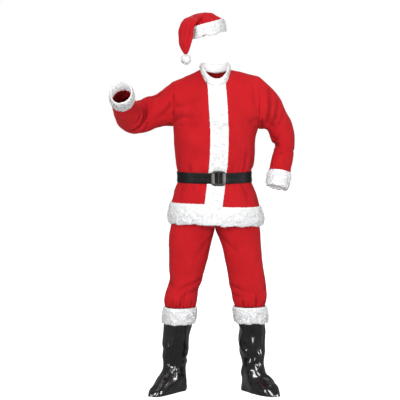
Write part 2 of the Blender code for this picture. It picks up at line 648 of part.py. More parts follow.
def build_buckle(y, collection):
    """A flat frame with a bar down its middle: one outline with two windows, made thick."""
    curve = bpy.data.curves.new("buckle", "CURVE")
    curve.dimensions = "2D"
    curve.fill_mode = "BOTH"
    window_half = (BUCKLE_WINDOW[0] - BUCKLE_BAR) / 2
    outlines = [loop_of(*BUCKLE_HALF, BUCKLE_CORNER)]
    for side in (RIGHT, LEFT):
        shift = side * (window_half + BUCKLE_BAR)
        outlines.append(loop_of(window_half, BUCKLE_WINDOW[1], WINDOW_CORNER, shift))
    for outline in outlines:
        spline = curve.splines.new("POLY")
        spline.points.add(len(outline) - 1)
        spline.use_cyclic_u = True
        for point, (x, z) in zip(spline.points, outline):
            point.co = (x, z, 0, 1)
    curve.extrude = BUCKLE_THICK / 2
    curve.bevel_depth = BUCKLE_THICK / 2
    curve.bevel_resolution = 1
    guide = bpy.data.objects.new("buckle_guide", curve)
    collection.objects.link(guide)
    bpy.context.view_layer.update()
    mesh = bpy.data.meshes.new_from_object(guide.evaluated_get(bpy.context.evaluated_depsgraph_get()))
    bpy.data.objects.remove(guide)
    shape = bmesh.new()
    shape.from_mesh(mesh)
    bmesh.ops.remove_doubles(shape, verts=shape.verts, dist=1e-5)
    bmesh.ops.recalc_face_normals(shape, faces=shape.faces)
    shape.to_mesh(mesh)
    shape.free()
    mesh.shade_flat()
    buckle = bpy.data.objects.new("buckle", mesh)
    buckle.location = (BUCKLE_CENTRE[0], y, BUCKLE_CENTRE[1])
    buckle.rotation_euler = (math.pi / 2, 0, 0)
    place(buckle, collection, "pewter")


# ---------------------------------------------------------------- trousers


def leg_grid(side, face):
    """One panel from the waist to the plush: hips, crotch and leg rows.

    Each row is x = middle + half * sin(a) and y = depth * cos(a), for a from the inner edge to the
    side seam. Above the crotch the inner edge stays on the middle plane while it turns under.
    """
    rows = []
    depth_column = 4 if face == "front" else 5
    for row in HIPS:
        side_z, middle_z, right, left = row[:4]
        start = -math.radians(row[6])
        half = (right if side == RIGHT else left) / (1 - math.sin(start))
        rows.append((side_z, middle_z, half * -math.sin(start), half, row[depth_column], start))
    for number, (z, outer, inner, front, back) in enumerate(LEG[side]):
        depth = front if face == "front" else back
        middle_z = CROTCH_Z if number == 0 else z
        rows.append((z, middle_z, (outer + inner) / 2, (outer - inner) / 2, depth, -math.pi / 2))
    side_z, middle_z, middle, half, depth, start = (column[:, None] for column in np.array(rows).T)
    share = np.linspace(0, 1, LEG_COLUMNS + 1)[None]
    turn = start + (math.pi / 2 - start) * share
    x = middle + half * np.sin(turn)
    y = depth * np.abs(np.cos(turn)) ** SQUARE * (-1 if face == "front" else 1)
    z = middle_z + (side_z - middle_z) * share
    return np.stack((side * x, y, z), -1)


def build_trousers(collection):
    names, grids = [], []
    for side, word in ((RIGHT, "right"), (LEFT, "left")):
        for face in ("front", "back"):
            names.append(f"trousers_{face}_{word}")
            grids.append(creased(leg_grid(side, face), LEG_FOLDS[side]))
    normals = sewn_normals(grids, [False] * 4)
    for name, grid, normal in zip(names, grids, normals):
        wall(name, grid, normal, 0, CLOTH, False, "red_cloth", collection)
    for side, word in ((RIGHT, "right"), (LEFT, "left")):
        front, back = (leg_grid(side, face)[-1] for face in ("front", "back"))
        ring = np.concatenate((front, back[-2:0:-1]))
        middle = ring.mean(axis=0)
        wider = 1 + LEG_TRIM_WIDER / np.linalg.norm((ring - middle)[:, :2], axis=1, keepdims=True) * (1, 1, 0)
        steps = []
        for share in np.linspace(0, 1, TRIM_ROWS):
            lower = (side * share * LEG_TRIM_OUT, 0, -CLOTH - SEAM_GAP - share * LEG_TRIM_HIGH)
            steps.append(middle + (ring - middle) * wider + lower)
        grid = np.array(steps)
        normal = sewn_normals([grid], [True])[0]
        wall(f"leg_trim_{word}", grid, normal, 0, plush(grid), True, "white_plush", collection)


# ---------------------------------------------------------------- boot covers


def boot_grid(side, half):
    """Half a boot cover, toe to heel round its inner or outer side, in the turned frame of the foot.

    Forwards it is front * cos(a) ** power, or back * cos(a), and sideways half width * sin(a).
    """
    z, x, y, back, front, width, power = (column[:, None] for column in BOOT[side].T)
    turn = np.linspace(0, math.pi, BOOT_COLUMNS + 1)[None]
    ahead = front * np.clip(np.cos(turn), 0, 1) ** power
    forwards = np.where(turn < math.pi / 2, ahead, back * np.cos(turn))
    sideways = width * np.sin(turn) ** SQUARE * (side if half == "outer" else -side)
    angle = FOOT_TURN[side]
    return np.stack(
        (
            x + math.sin(angle) * forwards + math.cos(angle) * sideways,
            y - math.cos(angle) * forwards + math.sin(angle) * sideways,
            z + 0 * turn,
        ),
        -1,
    )


def build_boots(collection):
    for side, word in ((RIGHT, "right"), (LEFT, "left")):
        halves = ("inner", "outer")
        grids = [creased(boot_grid(side, half), BOOT_FOLDS) for half in halves]
        normals = sewn_normals(grids, [False, False])
        for half, grid, normal in zip(halves, grids, normals):
            name = f"boot_cover_{word}_{half}"
            wall(name, grid, normal, 0, VINYL, False, "black_vinyl", collection)


# ---------------------------------------------------------------- hat


def hat_ring(height, columns):
    """An oval across the hat, square to its leaning axis."""
    turn = np.linspace(0, 2 * math.pi, columns, endpoint=False)
    across = np.array((math.cos(HAT_LEAN), 0, math.sin(HAT_LEAN)))
    up = np.array((-math.sin(HAT_LEAN), 0, math.cos(HAT_LEAN)))
    x, y = HAT_HALF[0] * np.cos(turn)[:, None], HAT_HALF[1] * np.sin(turn)[:, None]
    return HAT_CENTRE + across * x - np.array((0, 1, 0)) * y + up * height


def crown_grid():
    """The whole crown: an oval on the band, then the table's rings, tipping over the fold.

    A ring is centre + thick * cos(a) + wide * sin(a). `thick` starts level, stands up on the fold
    and points out from the head in the tail; `wide` stays level.
    """
    base = hat_ring(HAT_BAND_HIGH / 2 + SEAM_GAP / 2, HAT_COLUMNS)
    x, y, z, half_thick, tip, half_wide, heading = (column[:, None] for column in CROWN.T)
    tip, heading = np.radians(tip), np.radians(heading)
    level = np.concatenate((np.cos(heading), np.sin(heading), 0 * heading), axis=1)
    thick = half_thick * (np.sin(tip) * np.array((0, 0, 1)) - np.cos(tip) * level)
    wide = half_wide * np.concatenate((-np.sin(heading), np.cos(heading), 0 * heading), axis=1)
    centres = np.concatenate((x, y, z), axis=1)
    turn = np.linspace(0, 2 * math.pi, HAT_COLUMNS, endpoint=False)[None, :, None]
    rings = centres[:, None] + thick[:, None] * np.cos(turn) + wide[:, None] * np.sin(turn)
    return np.concatenate((base[None], rings))


def build_hat(collection):
    crown = crown_grid()
    half = HAT_COLUMNS // 2
    gores = [crown[:, : half + 1], np.concatenate((crown[:, half:], crown[:, :1]), axis=1)]
    heights = np.linspace(-0.5, 0.5, TRIM_ROWS) * HAT_BAND_HIGH
    band = np.array([hat_ring(height, 2 * HAT_COLUMNS) for height in heights])
    normals = sewn_normals([crown], [True])[0]
    sides = [normals[:, : half + 1], np.concatenate((normals[:, half:], normals[:, :1]), axis=1)]
    for word, grid, normal in zip(("front", "back"), gores, sides):
        wall(f"hat_crown_{word}", grid, normal, 0, CLOTH, False, "red_cloth", collection)
    band_normals = sewn_normals([band], [True])[0]
    wall("hat_band", band, band_normals, 0, plush(band), True, "white_plush", collection)
    bpy.ops.mesh.primitive_ico_sphere_add(subdivisions=2, radius=POMPOM_RADIUS, location=POMPOM_CENTRE)
    pompom = bpy.context.object
    pompom.name = "hat_pompom"
    place(pompom, collection, "white_plush")


def main():
    for obj in list(bpy.data.objects):
        bpy.data.objects.remove(obj)
    suit = bpy.data.collections.new("santa_suit")
    bpy.context.scene.collection.children.link(suit)
    build_jacket(suit)
    build_belt(suit)
    build_trousers(suit)
    build_boots(suit)
    build_hat(suit)


main()
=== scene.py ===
"""The looks of the santa suit, laid out as an add-on and run as a script.

Metres, +Z up. The origin is the base of the neck, the front faces -Y, and right and left are the
wearer's own. The tables are the CAD's, so every cloth piece is the CAD's grid of points, filled in
with cubics, and then given its folds, gathers and seams, a wall, and on the trims a pile.
"""

import json
import math

import bpy
import numpy as np
from bpy.props import FloatProperty, FloatVectorProperty, PointerProperty
from bpy.types import Operator, Panel, PropertyGroup
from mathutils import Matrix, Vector

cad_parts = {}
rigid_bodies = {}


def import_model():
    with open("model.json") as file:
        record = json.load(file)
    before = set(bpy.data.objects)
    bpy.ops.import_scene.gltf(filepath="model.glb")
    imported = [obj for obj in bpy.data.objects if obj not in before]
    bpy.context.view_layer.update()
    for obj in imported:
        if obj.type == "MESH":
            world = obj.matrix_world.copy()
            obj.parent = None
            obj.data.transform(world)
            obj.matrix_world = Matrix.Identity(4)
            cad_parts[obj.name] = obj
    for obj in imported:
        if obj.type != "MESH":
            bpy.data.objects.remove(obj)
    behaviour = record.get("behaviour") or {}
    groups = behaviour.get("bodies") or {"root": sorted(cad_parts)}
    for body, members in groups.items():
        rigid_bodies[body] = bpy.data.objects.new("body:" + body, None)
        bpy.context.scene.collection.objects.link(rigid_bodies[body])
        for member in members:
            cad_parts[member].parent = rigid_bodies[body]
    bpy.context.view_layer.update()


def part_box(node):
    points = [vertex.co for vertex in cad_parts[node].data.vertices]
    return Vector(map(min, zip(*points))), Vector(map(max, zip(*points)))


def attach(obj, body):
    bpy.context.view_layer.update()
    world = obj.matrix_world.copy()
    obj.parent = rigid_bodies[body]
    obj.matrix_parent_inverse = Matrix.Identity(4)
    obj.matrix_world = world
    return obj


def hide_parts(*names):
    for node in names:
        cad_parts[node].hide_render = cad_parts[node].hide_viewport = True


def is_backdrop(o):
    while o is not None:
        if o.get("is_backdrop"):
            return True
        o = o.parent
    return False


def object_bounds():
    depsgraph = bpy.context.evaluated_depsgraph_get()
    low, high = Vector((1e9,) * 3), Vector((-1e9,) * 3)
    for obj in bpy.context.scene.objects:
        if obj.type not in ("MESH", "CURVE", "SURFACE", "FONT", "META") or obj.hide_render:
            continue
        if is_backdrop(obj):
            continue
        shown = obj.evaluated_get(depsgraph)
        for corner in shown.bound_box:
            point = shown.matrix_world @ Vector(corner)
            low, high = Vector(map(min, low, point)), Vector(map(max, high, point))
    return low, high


bl_info = {
    "name": "Santa Suit",
    "version": (1, 0, 0),
    "blender": (4, 5, 0),
    "location": "View3D > Sidebar > Santa Suit",
    "description": "Dresses the frame of a santa suit in velour, plush, vinyl and pewter",
    "category": "Add Mesh",
}

for startup in list(bpy.data.objects):
    bpy.data.objects.remove(startup)
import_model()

# Driving sizes.
CLOTH = 0.0020  # wall of the red cloth
VINYL = 0.0016  # wall of the boot covers
SEAM_GAP = 0.0003  # between two pieces that are sewn together
LAY_GAP = 0.0010  # between a panel and what lies on it
PLUSH = 0.0110  # how far the plush trims reach out
PLUSH_EDGE = 0.0050  # how far they reach at their two edges
BAND_PLUSH = 0.0075  # reach of the plush band down the front
BAND_UNDER_BELT = 0.0035  # the same, where the belt presses on it
BAND_HALF = 0.0420
BAND_EDGE = 0.7  # share of its reach that the band has at its two edges
BAND_PRESS = 0.0120  # how far from the belt the band is still pressed
SQUARE = 0.86  # power that squares a section: 1 is an ellipse
ARMHOLE_SQUARE = 0.9
LEAST_MITRE = 0.3  # cosine at which a mitre at a sharp seam stops growing

BELT_LOW, BELT_HIGH = -0.526, -0.474
BELT_WALL = 0.0030
BELT_EDGE = 0.45  # share of its wall that the strap has at its rolled edges
BELT_NEAR, BELT_SLOPE = 0.006, 0.035  # beside the band the strap stays out, then comes down
BELT_ROWS = 13
UNDERARM = -0.262
HEM_LOW, HEM_HIGH = -0.718, -0.622
LEFT_DROP_FRONT, LEFT_DROP_SIDE = 0.012, 0.021  # the jacket's left half hangs this much lower
HEM_REACH = 0.2  # from the middle to where the drop is full
BODY_ROUND = 1.4  # depth counts for this much when puckers are spaced round the body
HEM_EVENED = 0.5  # share of that drop that the hem takes back by its lower edge
NECK_FRONT = -0.072
COLLAR_HIGH = 0.034
COLLAR_LEAN = 0.06  # share of its size that the neckband loses at its top
COLLAR_THINNER = 0.0020
COLLAR_SOFT = 10  # columns over which its top edge is evened out
TRIM_ROWS = 4  # rows of points across a plush strip

RIGHT, LEFT = -1, 1
SIDES = ((RIGHT, "right"), (LEFT, "left"))
FACES = ("front", "back")
ARM_ROWS = 7  # rows from the underarm to the shoulder; a sleeve has twice as many columns
BAND_COLUMNS = 2  # columns of a front panel under the plush band
NECK_COLUMNS = 4  # columns up to the neck end of the shoulder seam
FRONT_COLUMNS = 8
CUFF_ROW = 8  # the sleeve row where its cuff starts


def table(text, units=1000):
    """The rows of a table, each column over its unit: 1000 for one in mm, 1 for one kept as it is."""
    rows = text.strip().replace(";", "\n").splitlines()
    return np.array([row.split() for row in rows], float) / units


# The jacket's body, inside the cloth: z, right, left, front, back.
JACKET = table("""
    -722 217 225 146 150
    -690 219 226 147 151
    -640 211 211 144 147
    -600 202 200 139 141
    -560 190 189 133 135
    -526 177 172 125 124
    -500 175 169 123 122
    -474 178 170 125 123
    -445 183 181 130 125
    -415 186 187 134 126
    -370 193 186 137 125
    -317 195 190 139 122
    -262 198 201 137 118
""")
PANEL_ROWS = (-0.570, -0.526, -0.474, -0.440, -0.400, -0.330)  # between hem and underarm
# The line where the fronts meet: z, x.
CENTRE_FRONT = table("-720 -15; -620 -7; -530 4; -460 12; -380 18; -280 20; -70 10")
# The middle of the upper front and back, as z, y; x comes from the line above, or is 0.
UPPER = {
    "front": table("-262 -137; -200 -136; -140 -126; -72 -98"),
    "back": table("-262 118; -180 124; -90 106; -10 60"),
}
# The neck edge from the middle to the shoulder seam, as x out from the middle, y, z.
NECK_EDGE = {
    "front": table("0 -98 -72; 21 -93 -68; 42 -74 -54; 58 -40 -24"),
    "back": table("0 60 -10; 20 57 -8; 40 47 -4; 58 26 4"),
}
NECK_POINT = np.array((0.067, 0.004, 0.010))
# An armhole: x at the underarm, halfway and at the shoulder, z at the underarm and the shoulder.
ARMHOLE = {
    RIGHT: (-0.198, -0.197, -0.199, -0.258, -0.049),
    LEFT: (0.201, 0.209, 0.205, -0.266, -0.022),
}
ARMHOLE_REACH = {"front": -0.080, "back": 0.074}

# A sleeve's rings after the armhole: centre x, y, z, tilt of its long axis in degrees from +X,
# half of that axis, half of the other. The last is the edge of the cuff.
SLEEVE_UNITS = (1000, 1000, 1000, 1, 1000, 1000)
SLEEVE = {
    RIGHT: table("""
    -240 -3 -170 91 88 81
    -285 -12 -190 90 78 77
    -330 -25 -204 84 84 76
    -370 -42 -213 70 82 74
    -399 -70 -209 52 73 71
    -414 -110 -190 38 63 67
    -424 -160 -161 29 57 61
    -431 -215 -128 26 51 53
    -437 -268 -92 26 50 52
    """, SLEEVE_UNITS),
    LEFT: table("""
    241 4 -174 76 99 84
    274 12 -203 64 78 78
    300 20 -246 46 62 68
    319 25 -291 33 60 63
    330 22 -331 22 53 61
    332 12 -362 8 48 59
    322 -8 -405 0 50 57
    307 -34 -478 -9 48 50
    295 -55 -545 -13 47 49
    """, SLEEVE_UNITS),
}

# The trousers above the crotch: z at the side, z in the middle, right and left reach, front, back,
# and how far round the inner edge has turned under, in degrees.
HIPS_UNITS = (1000,) * 6 + (1,)
HIPS = table("""
    -495 -495 150 148 104 104 0
    -560 -560 164 163 109 114 0
    -625 -625 184 184 111 123 0
    -685 -680 200 201 110 125 22
    -722 -718 207 208 106 121 46
    -746 -739 212 211 102 114 68
""", HIPS_UNITS)
# A leg: z, outer, inner, front, back. The first row is the crotch, the last the plush.
LEG = {
    RIGHT: table("""
    -768 216 2.6 99 108
    -826 220 22 94 98
    -888 219 34 88 91
    -941 218 50 84 87
    -994 217 63 81 85
    -1046 231 82 80 84
    -1094 242 90 79 82
    -1128 234 100 69 69
    """),
    LEFT: table("""
    -768 214 2.6 99 108
    -821 218 30 94 98
    -888 224 46 88 91
    -950 231 60 84 87
    -1010 241 68 82 86
    -1050 246 77 81 85
    -1090 246 86 79 82
    -1124 235 99 69 69
    """),
}
CROTCH_Z = -0.752
LEG_COLUMNS = 7
LEG_TRIM_HIGH = 0.074
LEG_TRIM_WIDER = 0.007  # the plush stands off the gathered trouser end, over the boot cover
LEG_TRIM_OUT = 0.008  # its lower edge sits this much further out, as the boot covers do

# A boot cover: z, x and y of its axis, then in the turned frame of the foot its back, front, half
# width, and the power that squares its front.
BOOT_UNITS = (1000,) * 6 + (1,)
BOOT = {
    RIGHT: table("""
    -1160 -170 0 61 61 59 1
    -1215 -179 2 65 63 64 1
    -1262 -183 8 69 64 65 1
    -1315 -189 14 66 61 61 1
    -1368 -193 20 60 58 56 1
    -1412 -194 25 57 61 51 0.95
    -1446 -194 28 58 88 50 0.85
    -1474 -194 29 63 134 51 0.75
    -1498 -194 30 66 172 52 0.66
    -1520 -194 30 68 196 52 0.6
    -1542 -194 30 67 206 51 0.58
    """, BOOT_UNITS),
    LEFT: table("""
    -1155 169 0 61 61 59 1
    -1210 175 2 64 63 64 1
    -1258 177 8 67 63 62 1
    -1315 180 14 64 60 58 1
    -1368 182 20 59 57 54 1
    -1412 184 25 57 61 52 0.95
    -1446 185 28 58 88 51 0.85
    -1474 186 29 63 134 51 0.75
    -1498 186 30 66 172 52 0.66
    -1520 186 30 68 196 52 0.6
    -1542 186 30 67 206 51 0.58
    """, BOOT_UNITS),
}
FOOT_TURN = {RIGHT: math.radians(-32), LEFT: math.radians(32)}
BOOT_COLUMNS = 7
BOOT_SEAM = 0.0012  # how deep the seams of the boot covers lie
VINYL_CRUMPLE, CRUMPLE_WAVE = 0.0034, 0.180  # depth and size of the facets in the boot covers

# The hat's band: a leaning oval ring.
HAT_CENTRE = np.array((-0.046, 0.0, 0.199))
HAT_LEAN = math.radians(15)
HAT_HALF = (0.089, 0.104)
HAT_BAND_HIGH = 0.055
HAT_COLUMNS = 14  # round the whole hat
# The crown folds over to the front and the right side, and hangs down past the band. Each ring:
# centre x, y, z, half thickness, how far that has tipped over in degrees, half width, heading of
# the fold in degrees.
CROWN_UNITS = (1000, 1000, 1000, 1000, 1, 1000, 1)
CROWN = table("""
    -60 3 236 75 18 96 180
    -68 4 247 60 26 86 182
    -80 0 250 38 44 73 190
    -94 -18 250 21 72 61 206
    -107 -48 245 13 96 50 220
    -120 -81 237 11 114 44 228
    -132 -99 217 12 142 41 231
    -137 -104 194 14 165 41 233
    -138 -104 170 15 175 41 233
    -142 -106 138 14 180 35 233
    -142 -107 109 11 180 23 233
    -140 -107 87 6 180 8 233
""", CROWN_UNITS)
TAIL_TIP, TAIL_CLOSED = np.array((-0.1395, -0.107, 0.0815)), 0.3  # where the tail is tied off
POMPOM_CENTRE, POMPOM_RADIUS = np.array((-0.138, -0.107, 0.059)), 0.0235
POMPOM_CORE = 0.84  # share of the radius that is a solid core
POMPOM_ROUGH = 0.03  # share of the radius by which that core is uneven
POMPOM_YARN = 0.16 * POMPOM_RADIUS + 0.003  # how far its strands stand out
POMPOM_CROWD = 2.4  # its strands for each one of a strip
POMPOM_POLE = 0.02  # from a pole to the core's first row, in radians

BUCKLE_WINDOW = (0.0185, 0.0255)  # half sizes of the opening
BUCKLE_BAR = 0.0030  # half width of the bar down its middle
BUCKLE_CORNER, WINDOW_CORNER = 0.0176, 0.004
BUCKLE_ACROSS, BUCKLE_UP = 0.6, 0.7  # powers that square its section
BUCKLE_DOME = 0.16  # share by which the frame's faces bulge
BAR_THICK, BAR_PAST = 0.72, 0.002  # the bar's share of the thickness, and how far it runs under the frame
RECESS_SHADE, ENDS_DARKER, BAR_DARKER = 0.75, 0.8, 0.85  # painted shade on the frame's flanks, then how much darker the frame's top and bottom and the bar are made

# ---------------------------------------------------------------- what is pressed into the cloth

STEPS = 8  # cells that one cell of a table is filled in to, each way
TRIM_LINES = (TRIM_ROWS - 1) * STEPS + 1  # rows of points across a plush strip, once filled in
FOLD_SAMPLES = 24
FOLD_RIDGE = 1.3  # how strongly a trough throws up a ridge on either side
FOLD_STEEP, FOLD_GENTLE = 0.8, 1.3  # its two sides' widths
FOLD_CLEAR = 0.010  # from a seam, where folds fade in
SEAM_DEPTH, SEAM_WIDE = 0.0018, 0.0050
CREASE_DEEP = 0.0070  # a press this deep gets the full painted crease shade
BELT_FADE = 0.010  # how fast cloth is let go beside what holds it
RIPPLE_FINE, RIPPLE_FINER = 0.4, 2.6  # a second ripple's share of the first, and how much finer it is
CRUMPLE_SOFT = 0.03  # squared share of a ripple over which a facet's ridge is rounded
PUCKER_UNEVEN = 0.35  # share by which puckers differ in reach
SHARP = 60  # degrees between two faces at which their edge is sharp

PUFF_LENGTH, EDGE_LENGTH = 0.045, 0.05  # from one swelling, or one wander of an edge, to the next
STRAND_SINK = 0.0006  # how deep a strand's foot lies in the backing
STRAND_SHORT, STRAND_LONG = 0.7, 1.15  # how much strands differ in length
STRAND_BEND, STRAND_DOWN = 0.3, 0.1  # how far a strand leans on past its root, and how far down
SOFT_LEAN, SOFT_STRAY = 0.5, 0.25  # how far the light on a strand follows its lean, and strays

